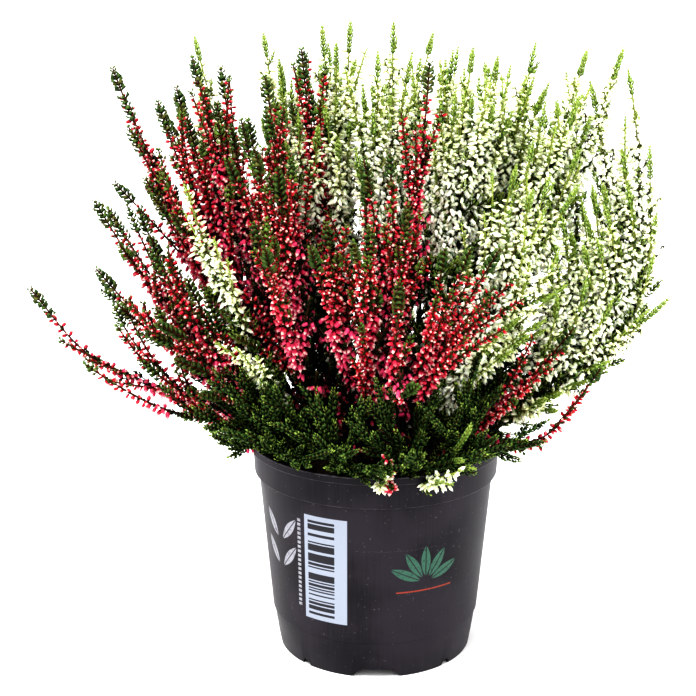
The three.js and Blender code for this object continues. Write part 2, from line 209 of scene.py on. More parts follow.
class GrowthTree(NodeGraph):
    """A Geometry Nodes tree with named inputs, which grows something on a mesh."""

    def __init__(self, name: str) -> None:
        """Start an empty tree of some name."""
        super().__init__(bpy.data.node_groups.new(name, "GeometryNodeTree"))
        self.identifiers: dict[str, str] = {}
        for way in ("INPUT", "OUTPUT"):
            self.tree.interface.new_socket(name="Geometry", in_out=way, socket_type="NodeSocketGeometry")
        self.entry = self.tree.nodes.new("NodeGroupInput")
        self.exit = self.tree.nodes.new("NodeGroupOutput")

    def named_input(self, name: str, kind: str = "NodeSocketFloat") -> Socket:
        """Give the tree one more input, of some socket type, and return what it hands on."""
        item = self.tree.interface.new_socket(name=name, in_out="INPUT", socket_type=kind)
        self.identifiers[name] = item.identifier
        return self.given(name)

    def given(self, name: str) -> Socket:
        """Return the value that an input of the tree hands on."""
        return self.entry.outputs[name]

    def read(self, trait: Trait) -> Socket:
        """Return a trait of the place that is looked at."""
        node = self.add("GeometryNodeInputNamedAttribute", {"Name": trait.value}, data_type="FLOAT")
        return node.outputs["Attribute"]

    def store(self, geometry: Feed, trait: Trait, value: Feed) -> Socket:
        """Return the geometry with a trait written to each of its points."""
        feeds = {"Geometry": geometry, "Name": trait.value, "Value": value}
        node = self.add("GeometryNodeStoreNamedAttribute", feeds, data_type="FLOAT", domain="POINT")
        return node.outputs[0]

    def chance(self, low: Feed, high: Feed, seed: int) -> Socket:
        """Return a random value between low and high, fixed by its seed."""
        feeds = {"Min_001": low, "Max_001": high, "Seed": seed}
        return self.add("FunctionNodeRandomValue", feeds, data_type="FLOAT").outputs[1]

    def join(self, *geometries: Socket) -> Socket:
        """Return several geometries as one."""
        node = self.add("GeometryNodeJoinGeometry")
        for geometry in geometries:
            self.tree.links.new(geometry, node.inputs[0])
        return node.outputs[0]

    def scatter(self, points: Feed, shape: Feed, rotation: Feed, scale: Feed) -> Socket:
        """Return a shape put on each of some points and made real."""
        feeds = {"Points": points, "Instance": shape, "Rotation": rotation, "Scale": scale}
        copies = self.add("GeometryNodeInstanceOnPoints", feeds).outputs[0]
        return self.add("GeometryNodeRealizeInstances", {0: copies}).outputs[0]

    def dress(self, geometry: Feed, finish: Feed) -> Socket:
        """Return the geometry with a material on it."""
        return self.add("GeometryNodeSetMaterial", {"Geometry": geometry, "Material": finish}).outputs[0]

    def apply(self, base: bpy.types.Mesh, name: str, values: Mapping[str, object]) -> bpy.types.Object:
        """Grow the tree on a mesh and keep the result as a plain mesh.

        Args:
            base: The mesh to grow on, which is used up.
            name: The new object's name.
            values: A value for each named input.

        Returns:
            The new object, with no modifier left on it.
        """
        host = in_scene(name, base)
        modifier = host.modifiers.new("growth", "NODES")
        modifier.node_group = self.tree
        for key, value in values.items():
            modifier[self.identifiers[key]] = value
        return settle(host)


def in_scene(name: str, data: bpy.types.ID) -> bpy.types.Object:
    """Return a new object of the scene that shows some data."""
    shown = bpy.data.objects.new(name, data)
    bpy.context.scene.collection.objects.link(shown)
    return shown


def settle(host: bpy.types.Object) -> bpy.types.Object:
    """Turn an object's modifiers into a plain mesh.

    Args:
        host: The object, in the scene, whose modifiers are all to be applied.

    Returns:
        The same object, with its evaluated mesh and no modifiers.
    """
    graph = bpy.context.evaluated_depsgraph_get()
    evaluated = host.evaluated_get(graph)
    mesh = bpy.data.meshes.new_from_object(evaluated, preserve_all_data_layers=True, depsgraph=graph)
    host.modifiers.clear()
    used_up = host.data
    host.data = mesh
    bpy.data.meshes.remove(used_up)
    mesh.name = host.name
    return host


# ---- Finishes --------------------------------------------------------------------------------


class FinishGraph(NodeGraph):
    """The shader tree of one finish: a Principled shader and what feeds it."""

    def __init__(self, name: str, roughness: float) -> None:
        """Start a material, with a roughness that something else may feed later."""
        self.material = bpy.data.materials.new(name)
        self.material.use_nodes = True
        super().__init__(self.material.node_tree)
        self.shader = self.tree.nodes["Principled BSDF"]
        self.shade("Roughness", roughness)

    def shade(self, name: str, feed: Feed) -> None:
        """Set an input of the shader, or link what feeds it."""
        self.feed(self.shader, name, feed)

    def coordinates(self) -> Socket:
        """Return the place on the object, in metres."""
        return self.add("ShaderNodeTexCoord").outputs["Object"]

    def trait(self, trait: Trait) -> Socket:
        """Return a trait that the mesh carries."""
        return self.add("ShaderNodeAttribute", attribute_name=trait.value).outputs["Fac"]

    def noise(self, scale: float, detail: float = 3.0, vector: Feed | None = None) -> Socket:
        """Return noise between 0 and 1.

        Args:
            scale: Its scale, in features per metre of the vector.
            detail: How many finer layers it has.
            vector: Where it is looked up, which is the place on the object if not given.

        Returns:
            The noise's value.
        """
        place = self.coordinates() if vector is None else vector
        feeds = {"Vector": place, "Scale": scale, "Detail": detail}
        return self.add("ShaderNodeTexNoise", feeds).outputs["Fac"]

    def blend(self, share: Feed, first: Feed, second: Feed) -> Socket:
        """Return a blend of two colours or sockets, with a share of the second."""
        colours = [value if isinstance(value, Socket) else (*value, 1.0) for value in (first, second)]
        feeds = {"Factor_Float": share, "A_Color": colours[0], "B_Color": colours[1]}
        return self.add("ShaderNodeMix", feeds, data_type="RGBA").outputs[2]

    def bump(self, height: Feed, distance: float, strength: float = 1.0) -> None:
        """Raise the surface by a height.

        Args:
            height: The height's pattern, from 0 to 1.
            distance: How high 1 stands, in metres.
            strength: How much of it shows.
        """
        feeds = {"Height": height, "Distance": distance, "Strength": strength}
        self.shade("Normal", self.add("ShaderNodeBump", feeds).outputs[0])


@dataclass(frozen=True)
class BudFinish:
    """The skin of the closed buds: a green neck that takes a painted shade on older buds, a body that pales
    with age, and a pale point that is partly a painted highlight.
    """

    name: str
    neck: Colour
    shaded_neck: Colour
    young: Colour
    full: Colour
    deep: Colour
    point: Colour
    point_and_highlight_share: float = 0.8
    deep_share: float = 0.55
    mottle_share: float = 0.06
    grain: float = 900.0
    relief: float = 0.2
    roughness: float = 0.42
    gloss: float = 0.32
    glow: float = 0.12
    glow_depth: float = 1.2
    glow_colour: Colour = (0.9, 0.4, 0.3)

    def material(self) -> bpy.types.Material:
        """Return the finish as a material that reads the buds' traits."""
        graph = FinishGraph(self.name, self.roughness)
        along = graph.trait(Trait.ALONG)
        tint = graph.trait(Trait.TINT)
        age = graph.trait(Trait.AGE)
        aged = graph.blend(graph.remap(age, 0.0, 1.0), self.young, self.full)
        body = graph.blend(graph.remap(tint, 0.45, 1.0, 0.0, self.deep_share), aged, self.deep)
        mottle = graph.remap(graph.noise(self.grain), 0.45, 0.8, 0.0, self.mottle_share)
        body = graph.blend(mottle, body, self.point)
        # painted shade: the neck darkens to near black on older buds, as shadow between the buds
        neck = graph.blend(graph.remap(age, 0.05, 0.6), self.neck, self.shaded_neck)
        necked = graph.blend(graph.remap(along, 0.16, 0.34), neck, body)
        # pale point: partly the petals' own pale tips and partly a painted highlight on each bud's end
        pale = graph.times(graph.remap(along, 0.62, 0.84), self.point_and_highlight_share)
        pale_point_and_highlight = graph.times(pale, graph.remap(tint, 0.1, 0.55, 0.2, 1.0))
        graph.shade("Base Color", graph.blend(pale_point_and_highlight, necked, self.point))
        graph.bump(graph.noise(self.grain * 1.6), self.relief * MM, 0.35)
        graph.shade("Specular IOR Level", self.gloss)
        graph.shade("Subsurface Weight", self.glow)
        graph.shade("Subsurface Radius", self.glow_colour)
        graph.shade("Subsurface Scale", self.glow_depth * MM)
        return graph.material


@dataclass(frozen=True)
class LeafFinish:
    """Scale leaves: dark below with a painted shade, fresh at the shoot's end, paler at each leaf's tip with
    a painted highlight, each a little different.
    """

    name: str
    old: Colour
    mature: Colour
    fresh: Colour
    fleck: Colour
    fleck_share: float = 0.0
    shaded: Colour = (0.006, 0.014, 0.005)
    shaded_share: float = 0.94
    lit_share: float = 0.35
    mottle_share: float = 0.4
    grain: float = 700.0
    relief: float = 0.15
    roughness: float = 0.5
    gloss: float = 0.2

    def material(self) -> bpy.types.Material:
        """Return the finish as a material that reads the leaves' traits."""
        graph = FinishGraph(self.name, self.roughness)
        tint = graph.trait(Trait.TINT)
        fresh = graph.trait(Trait.FRESH)
        green = graph.blend(graph.remap(tint, 0.0, 1.0), self.old, self.mature)
        green = graph.blend(fresh, green, self.fresh)
        # painted highlight: each leaf turns paler towards its tip
        lit = graph.times(graph.remap(graph.trait(Trait.ALONG), 0.3, 1.0), self.lit_share)
        green = graph.blend(lit, green, self.fresh)
        flecked = graph.times(graph.remap(tint, 0.72, 0.8), self.fleck_share)
        green = graph.blend(flecked, green, self.fleck)
        mottle = graph.remap(graph.noise(self.grain), 0.3, 0.7, 0.0, self.mottle_share)
        green = graph.blend(mottle, green, self.old)
        # painted shade: older leaves inside the bush darken towards near black, unless they are fresh
        inside = graph.remap(graph.trait(Trait.AGE), 0.08, 0.55, 0.0, self.shaded_share)
        inside = graph.math("MAXIMUM", graph.minus(inside, fresh), 0.0)
        graph.shade("Base Color", graph.blend(inside, green, self.shaded))
        graph.bump(graph.noise(self.grain * 2), self.relief * MM, 0.4)
        graph.shade("Specular IOR Level", self.gloss)
        return graph.material


@dataclass(frozen=True)
class BarkFinish:
    """Thin woody stems, streaked along, that turn greener towards the tips."""

    name: str
    wood: Colour
    streak: Colour
    green: Colour
    old: Colour = (0.022, 0.013, 0.008)
    old_wood_and_shade_share: float = 0.85
    grain: float = 1800.0
    relief: float = 0.25
    roughness: float = 0.62
    gloss: float = 0.2

    def material(self) -> bpy.types.Material:
        """Return the finish as a material."""
        graph = FinishGraph(self.name, self.roughness)
        place = graph.add("ShaderNodeMapping", {"Vector": graph.coordinates(), "Scale": (1, 1, 0.25)})
        streaks = graph.noise(self.grain, vector=place.outputs[0])
        wood = graph.blend(graph.remap(streaks, 0.35, 0.65), self.wood, self.streak)
        # darker down the stem: partly older wood, partly a painted shade deep in the bush
        aged = graph.remap(graph.trait(Trait.AGE), 0.3, 1.0, 0.0, self.old_wood_and_shade_share)
        wood = graph.blend(aged, wood, self.old)
        graph.shade("Base Color", graph.blend(graph.trait(Trait.FRESH), wood, self.green))
        graph.bump(streaks, self.relief * MM, 0.6)
        graph.shade("Specular IOR Level", self.gloss)
        return graph.material


@dataclass(frozen=True)
class SoilFinish:
    """Moist potting mix: dark peat with paler fibres."""

    name: str = "peat_mix"
    peat: Colour = (0.016, 0.010, 0.006)
    brown: Colour = (0.055, 0.032, 0.017)
    fibre: Colour = (0.16, 0.10, 0.055)
    fibre_share: float = 0.7
    relief: float = 0.8
    roughness: float = 0.9

    def material(self) -> bpy.types.Material:
        """Return the finish as a material."""
        graph = FinishGraph(self.name, self.roughness)
        crumbs = graph.remap(graph.noise(420.0, 6.0), 0.38, 0.68)
        colour = graph.blend(crumbs, self.peat, self.brown)
        fibres = graph.remap(graph.noise(1500.0, 2.0), 0.66, 0.76, 0.0, self.fibre_share)
        graph.shade("Base Color", graph.blend(fibres, colour, self.fibre))
        graph.bump(graph.noise(700.0, 6.0), self.relief * MM, 0.8)
        return graph.material


class WallGraph(FinishGraph):
    """The shader tree of a round wall, which is measured in millimetres.

    A place's arc runs round the wall from the middle of the front, and its height up from the surface.
    """

    soft_edge: float = 0.12

    def __init__(self, name: str, roughness: float) -> None:
        """Start a material and measure its places."""
        super().__init__(name, roughness)
        place = self.add("ShaderNodeSeparateXYZ", {0: self.coordinates()}).outputs
        x, y, z = place[0], place[1], place[2]
        squares = self.math("ADD", self.times(x, x), self.times(y, y))
        self.radius = self.math("DIVIDE", self.math("SQRT", squares), MM)
        self.arc = self.times(self.math("ARCTAN2", x, self.times(y, -1.0)), self.radius)
        self.height = self.math("DIVIDE", z, MM)

    def beside(self, middle: Pair) -> tuple[Socket, Socket]:
        """Return how far along and how far up a place is from a spot."""
        return self.minus(self.arc, middle[0]), self.minus(self.height, middle[1])

    def inside(self, along: Feed, up: Feed, half: Pair) -> Socket:
        """Return 1 within a half width and a half height of zero, and 0 beyond them."""
        masks = [
            self.remap(self.math("ABSOLUTE", way), reach - self.soft_edge, reach + self.soft_edge, 1.0, 0.0)
            for way, reach in ((along, half[0]), (up, half[1]))
        ]
        return self.times(*masks)

    def smear(self, around: float, up: float, layer: float, detail: float = 3.0) -> Socket:
        """Return noise of some scale round and up the wall, different in each layer."""
        place = self.vector(self.times(self.arc, around), self.times(self.height, up), layer)
        return self.noise(1.0, detail, vector=place)


@dataclass(frozen=True)
class PlasticFinish:
    """Thin charcoal plastic with moulding streaks and light scuffs, painted highlights along the edges of
    band and lip, a blank label and a leaf print.

    Its spots are arcs and heights on the wall, in millimetres.
    """

    name: str = "charcoal_plastic"
    plastic: Colour = (0.0122, 0.0104, 0.0142)
    streak: Colour = (0.030, 0.0252, 0.033)
    # the colour of the real specks, scuffs and scratch, and of the painted edge highlights
    dust_and_highlight: Colour = (0.12, 0.11, 0.12)
    paper: Colour = (0.30, 0.325, 0.38)
    bar: Colour = (0.03, 0.03, 0.036)
    leaf: Colour = (0.055, 0.13, 0.095)
    rule: Colour = (0.26, 0.055, 0.035)
    pale: Colour = (0.30, 0.30, 0.33)
    cloud_share: float = 0.84
    speck_share: float = 0.5
    scuff_share: float = 0.12
    edge_highlight_share: float = 0.6
    scratch_share: float = 0.55
    least_roughness: float = 0.36
    most_roughness: float = 0.5
    relief: float = 0.05
    gloss: float = 0.24
    outer_wall: float = 44.0
    label_middle: Pair = (-22.6, 49.6)
    label_half: Pair = (10.0, 24.4)
    bars_middle: Pair = (-24.5, 49.6)
    bars_half: Pair = (6.3, 22.2)
    bar_pitch: float = 0.62
    bar_gaps: float = 0.38
    leaf_length: float = 15.0
    leaf_width: float = 4.6
    leaf_start: float = 2.5
    fan_foot: Pair = (21.0, 44.5)
    fan_turns: tuple[float, ...] = (-64, -32, 0, 32, 64)
    rule_middle: Pair = (21.0, 41.0)
    rule_half: Pair = (13.0, 0.35)
    dash_middle: Pair = (-35.6, 50.0)
    dash_half: Pair = (0.9, 21.0)
    dash_pitch: float = 2.1
    sprig_feet: tuple[Pair, ...] = ((-48.0, 43.0), (-48.0, 56.0))
    sprig_turns: tuple[float, ...] = (-38, 38)
    scratch_middle: Pair = (8.5, 59.7)
    scratch_half: Pair = (18.5, 0.1)
    scratch_waver: float = 1.6
    oblong_middle: Pair = (-13.4, 19.6)
    oblong_half: Pair = (6.4, 1.3)
    oblong_rise: float = 5.0
    # the height and half width of each painted highlight line along the lip and band
    highlight_edges: tuple[Pair, ...] = ((94.6, 0.45), (91.6, 0.3), (80.6, 0.45))

    def _bars(self, wall: WallGraph) -> Socket:
        """Return the mask of the label's plain bars."""
        along, up = wall.beside(self.bars_middle)
        step = wall.math("FLOOR", wall.math("DIVIDE", up, self.bar_pitch))
        drawn = wall.add("ShaderNodeTexWhiteNoise", {"W": step}, noise_dimensions="1D").outputs[0]
        bars = wall.math("GREATER_THAN", drawn, self.bar_gaps)
        return wall.times(bars, wall.inside(along, up, self.bars_half))

    def _leaf(self, wall: WallGraph, along: Feed, up: Feed, degrees: float) -> Socket:
        """Return the mask of one almond leaf that points up, turned by some degrees."""
        turn = math.radians(degrees)
        cosine, sine = math.cos(turn), math.sin(turn)
        far = wall.math("ADD", wall.times(along, sine), wall.times(up, cosine))
        wide = wall.math("ABSOLUTE", wall.minus(wall.times(along, cosine), wall.times(up, sine)))
        place = wall.math("DIVIDE", wall.minus(far, self.leaf_start), self.leaf_length)
        bell = wall.times(place, wall.minus(1.0, place))
        edge = wall.minus(wall.times(bell, self.leaf_width * 2), wide)
        rib = wall.remap(wide, 0.1, 0.3)
        return wall.times(wall.remap(edge, 0.0, 0.25), rib)

    def _fan(self, wall: WallGraph, foot: Pair, turns: Sequence[float]) -> Feed:
        """Return the mask of leaves that spread from a spot."""
        along, up = wall.beside(foot)
        fan: Feed = 0.0
        for degrees in turns:
            fan = wall.math("MAXIMUM", fan, self._leaf(wall, along, up, degrees))
        return fan

    def _side_print(self, wall: WallGraph) -> Feed:
        """Return the mask of a row of plain dashes and a pale sprig beside the label."""
        along, up = wall.beside(self.dash_middle)
        step = wall.math("FRACT", wall.math("DIVIDE", up, self.dash_pitch))
        mask: Feed = wall.times(wall.inside(along, up, self.dash_half), wall.remap(step, 0.3, 0.4))
        for foot in self.sprig_feet:
            mask = wall.math("MAXIMUM", mask, self._fan(wall, foot, self.sprig_turns))
        return mask

    def _edge_highlights(self, wall: WallGraph) -> Feed:
        """Return the mask of a painted highlight along the edges of band and lip, broken here and there."""
        broken = wall.smear(0.35, 1.0, 5.0)
        highlight_mask: Feed = 0.0
        for level, half in self.highlight_edges:
            away = wall.math("ABSOLUTE", wall.minus(wall.height, level))
            highlight_mask = wall.math("MAXIMUM", highlight_mask, wall.remap(away, half * 0.4, half, 1.0, 0.0))
        return wall.times(highlight_mask, wall.remap(broken, 0.35, 0.65, 0.1, self.edge_highlight_share))

    def _scratch(self, wall: WallGraph) -> Socket:
        """Return the mask of a fine broken scratch that runs round the wall."""
        along, up = wall.beside(self.scratch_middle)
        waver = wall.times(wall.smear(0.12, 0.0, 7.0, 2.0), self.scratch_waver)
        line = wall.inside(along, wall.minus(up, waver), self.scratch_half)
        broken = wall.remap(wall.smear(1.0, 0.0, 2.0), 0.42, 0.62, 0.0, self.scratch_share)
        return wall.times(line, broken)

    def material(self) -> bpy.types.Material:
        """Return the finish as a material."""
        wall = WallGraph(self.name, self.least_roughness)
        outside = wall.math("GREATER_THAN", wall.radius, self.outer_wall)
        worn = wall.remap(wall.noise(900.0), 0.3, 0.5, 0.55, 1.0)
        streaks = wall.smear(0.9, 0.03, 0.0, detail=4.0)
        cloud = wall.noise(28.0)
        mixed = wall.math("MULTIPLY_ADD", streaks, 1 - self.cloud_share, wall.times(cloud, self.cloud_share))
        colour = wall.blend(wall.remap(mixed, 0.38, 0.62), self.plastic, self.streak)
        specks = wall.remap(wall.noise(820.0, 1.0), 0.71, 0.76, 0.0, self.speck_share)
        scuffs = wall.remap(wall.smear(0.05, 1.4, 3.0), 0.68, 0.8, 0.0, self.scuff_share)
        side_print = wall.times(self._side_print(wall), outside)
        rule = wall.inside(*wall.beside(self.rule_middle), self.rule_half)
        label = wall.inside(*wall.beside(self.label_middle), self.label_half)
        for mask, shown in (
            (wall.math("ADD", specks, scuffs), self.dust_and_highlight),
            (self._scratch(wall), self.dust_and_highlight),
            # painted highlight along the edges of band and lip
            (wall.times(self._edge_highlights(wall), outside), self.dust_and_highlight),
            (wall.times(self._fan(wall, self.fan_foot, self.fan_turns), worn), self.leaf),
            (wall.times(rule, worn), self.rule),
            (wall.times(side_print, worn), self.pale),
            (wall.times(label, outside), self.paper),
            (wall.times(self._bars(wall), outside), self.bar),
        ):
            colour = wall.blend(mask, colour, shown)
        wall.shade("Base Color", colour)
        roughness = wall.remap(cloud, 0.3, 0.7, self.least_roughness, self.most_roughness)
        wall.shade("Roughness", roughness)
        wall.shade("Specular IOR Level", self.gloss)
        oblong = wall.inside(*wall.beside(self.oblong_middle), self.oblong_half)
        grain = wall.math("MULTIPLY_ADD", streaks, 0.3, wall.noise(600.0, 4.0))
        wall.bump(wall.math("MULTIPLY_ADD", oblong, self.oblong_rise, grain), self.relief * MM, 0.5)
        return wall.material


RED_BUDS = BudFinish(
    name="crimson_buds",
    neck=(0.10, 0.020, 0.012),
    shaded_neck=(0.014, 0.009, 0.005),
    young=(0.49, 0.011, 0.030),
    full=(0.66, 0.064, 0.170),
    deep=(0.34, 0.004, 0.024),
    point=(0.90, 0.70, 0.62),
)
WHITE_BUDS = BudFinish(
    name="cream_buds",
    neck=(0.26, 0.34, 0.06),
    shaded_neck=(0.020, 0.034, 0.008),
    young=(0.72, 0.79, 0.42),
    full=(0.92, 0.93, 0.80),
    deep=(0.80, 0.83, 0.60),
    point=(0.95, 0.95, 0.90),
)
RED_SHOOT_LEAVES = LeafFinish(
    name="olive_scale_leaves",
    old=(0.030, 0.056, 0.018),
    mature=(0.105, 0.175, 0.048),
    fresh=(0.25, 0.38, 0.080),
    fleck=(0.17, 0.035, 0.018),
    fleck_share=0.35,
)
WHITE_SHOOT_LEAVES = LeafFinish(
    name="light_scale_leaves",
    old=(0.040, 0.085, 0.018),
    mature=(0.14, 0.26, 0.050),
    fresh=(0.47, 0.62, 0.18),
    fleck=(0.42, 0.48, 0.16),
    fleck_share=0.4,
)
SKIRT_LEAVES = LeafFinish(
    name="dark_scale_leaves",
    old=(0.005, 0.019, 0.008),
    mature=(0.020, 0.062, 0.020),
    fresh=(0.50, 0.68, 0.17),
    fleck=(0.065, 0.13, 0.034),
    fleck_share=0.5,
)
RED_BARK = BarkFinish("red_brown_bark", (0.085, 0.020, 0.012), (0.035, 0.010, 0.006), (0.20, 0.09, 0.03))
WHITE_BARK = BarkFinish("green_bark", (0.16, 0.18, 0.05), (0.10, 0.09, 0.03), (0.38, 0.46, 0.11))
SKIRT_BARK = BarkFinish("brown_bark", (0.085, 0.040, 0.020), (0.040, 0.018, 0.010), (0.10, 0.15, 0.04))


# ---- Sizes and layout ------------------------------------------------------------------------


@dataclass(frozen=True)
class PotSizes:
    """The pot's real sizes, in millimetres."""

    rim_radius: float = 55.0
    height: float = 95.0
    lip_height: float = 3.6
    band_radius: float = 53.4
    step_height: float = 79.9
    step_radius: float = 51.0
    foot_step_height: float = 17.0
    foot_step_radius: float = 45.4
    foot_radius: float = 42.3
    wall: float = 1.4
    floor_underside: float = 4.4
    floor_top: float = 6.0
    pad_radius: float = 12.5
    pad_flare: float = 2.0
    wall_foot: float = 0.4
    edge: float = 0.5

    @property
    def knee_height(self) -> float:
        """Where the inside of the wall widens for the band."""
        return self.step_height - 1

    def inner_radius(self, height: float) -> float:
        """Return the inside of the wall's radius at a height."""
        foot = (self.floor_top, self.foot_radius - self.wall + self.wall_foot)
        knee = (self.knee_height, self.step_radius - self.wall)
        rim = (self.height, self.rim_radius - self.wall)
        (low, near), (high, far) = (knee, rim) if height > self.knee_height else (foot, knee)
        return near + (far - near) * (height - low) / (high - low)


POT = PotSizes()


@dataclass(frozen=True)
class SoilSizes:
    """The potting mix's real sizes, in millimetres."""

    seat_gap: float = 0.3
    edge_height: float = 86.0
    crown: float = 2.2
    lump: float = 0.5

    def top(self, x: float, y: float) -> float:
        """Return the height of the mix at a place: a low dome with soft lumps."""
        share = math.hypot(x, y) / POT.inner_radius(self.edge_height)
        dome = self.edge_height + self.crown * math.cos(min(share, 1) * math.pi / 2)
        fade = max(0.0, 1 - share**4)
        return dome + self.lump * fade * (math.sin(x * 0.31) + math.cos(y * 0.27 + x * 0.1))


SOIL = SoilSizes()


class StemLine:
    """A stem's centreline: points a short way apart, measured along their length."""

    def __init__(self, points: Iterable[Vector]) -> None:
        """Measure the line through some points, from the foot up, in millimetres."""
        self.points = [Vector(point) for point in points]
        self.reached = [0.0]
        for start, end in zip(self.points, self.points[1:]):
            self.reached.append(self.reached[-1] + (end - start).length)
        self.length = self.reached[-1]

    def at(self, share: float) -> Vector:
        """Return the point at a share of the line's length."""
        goal = min(max(share, 0.0), 1.0) * self.length
        index = min(max(bisect.bisect_left(self.reached, goal), 1), len(self.points) - 1)
        low, high = self.reached[index - 1], self.reached[index]
        part = (goal - low) / max(high - low, 1e-9)
        return self.points[index - 1].lerp(self.points[index], part)

    def direction(self, share: float) -> Vector:
        """Return the line's direction at a share of its length."""
        return (self.at(share + 0.002) - self.at(share - 0.002)).normalized()

    def spaced(self, step: float) -> list[Vector]:
        """Return points along the line, no further apart than a step."""
        count = math.ceil(self.length / step)
        return [self.at(i / count) for i in range(count + 1)]


CURVE_STEPS = 60


def bend(start: Vector, turn: Vector, end: Vector) -> list[Vector]:
    """Return points along the curve from start to end that is drawn towards its turn."""
    shares = [i / CURVE_STEPS for i in range(CURVE_STEPS + 1)]
    return [start * (1 - t) ** 2 + turn * 2 * t * (1 - t) + end * t * t for t in shares]


def smooth_route(stops: Sequence[Vector]) -> list[Vector]:
    """Run a centripetal Catmull-Rom curve through some stops.

    Args:
        stops: The stops, three or more.

    Returns:
        Points along the curve, close together.
    """
    first = stops[0] * 2 - stops[1]
    last = stops[-1] * 2 - stops[-2]
    padded = [first, *stops, last]
    points = [stops[0]]
    for p0, p1, p2, p3 in zip(padded, padded[1:], padded[2:], padded[3:]):
        a, b, c = (math.sqrt((q - p).length) for p, q in ((p0, p1), (p1, p2), (p2, p3)))
        leave = ((p1 - p0) / a - (p2 - p0) / (a + b) + (p2 - p1) / b) * b
        arrive = ((p2 - p1) / b - (p3 - p1) / (b + c) + (p3 - p2) / c) * b
        for i in range(1, CURVE_STEPS + 1):
            t = i / CURVE_STEPS
            cubic = (p1 - p2) * 2 + leave + arrive
            square = (p2 - p1) * 3 - leave * 2 - arrive
            points.append(((cubic * t + square) * t + leave) * t + p1)
    return points


@dataclass(frozen=True)
class Spray:
    """One spray's tips, its own and then its side shoots', and how its stem gets there.

    Its boughs are racemes that only the finished plant has. Each is the share of the stem's length
    at which it leaves, and then its tip. The green tips and flower shares, where there are any, go
    before the habit's, and its buds are at least as old as its age.
    """

    growth: Growth
    tips: tuple[Point, ...]
    boughs: tuple[Bough, ...] = ()
    route: tuple[Point, ...] = ()
    lean: Pair = (0.65, 0.47)
    foot: float | None = None
    risers: int = 8
    inner: int = 3
    green_tip: float | None = None
    flowers: float | None = None
    bough_tip: float | None = None
    bough_flowers: float | None = None
    age: float = 0.0


@dataclass
class Stem:
    """A stem of a plant: a spray's own, one of its side shoots or boughs, or a leafy shoot."""

    line: StemLine
    part: Part = Part.OWN
    green_tip: float | None = None
    flowers: float | None = None
    young: float = 0.0
    age: float = 0.0


@dataclass
class Plant:
    """The stems of one piece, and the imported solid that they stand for, where there is one."""

    number: str
    node: str | None
    growth: Growth
    stems: list[Stem]
    risers: int = 0
    inner: int = 0


RED = Growth.RED
WHITE = Growth.WHITE

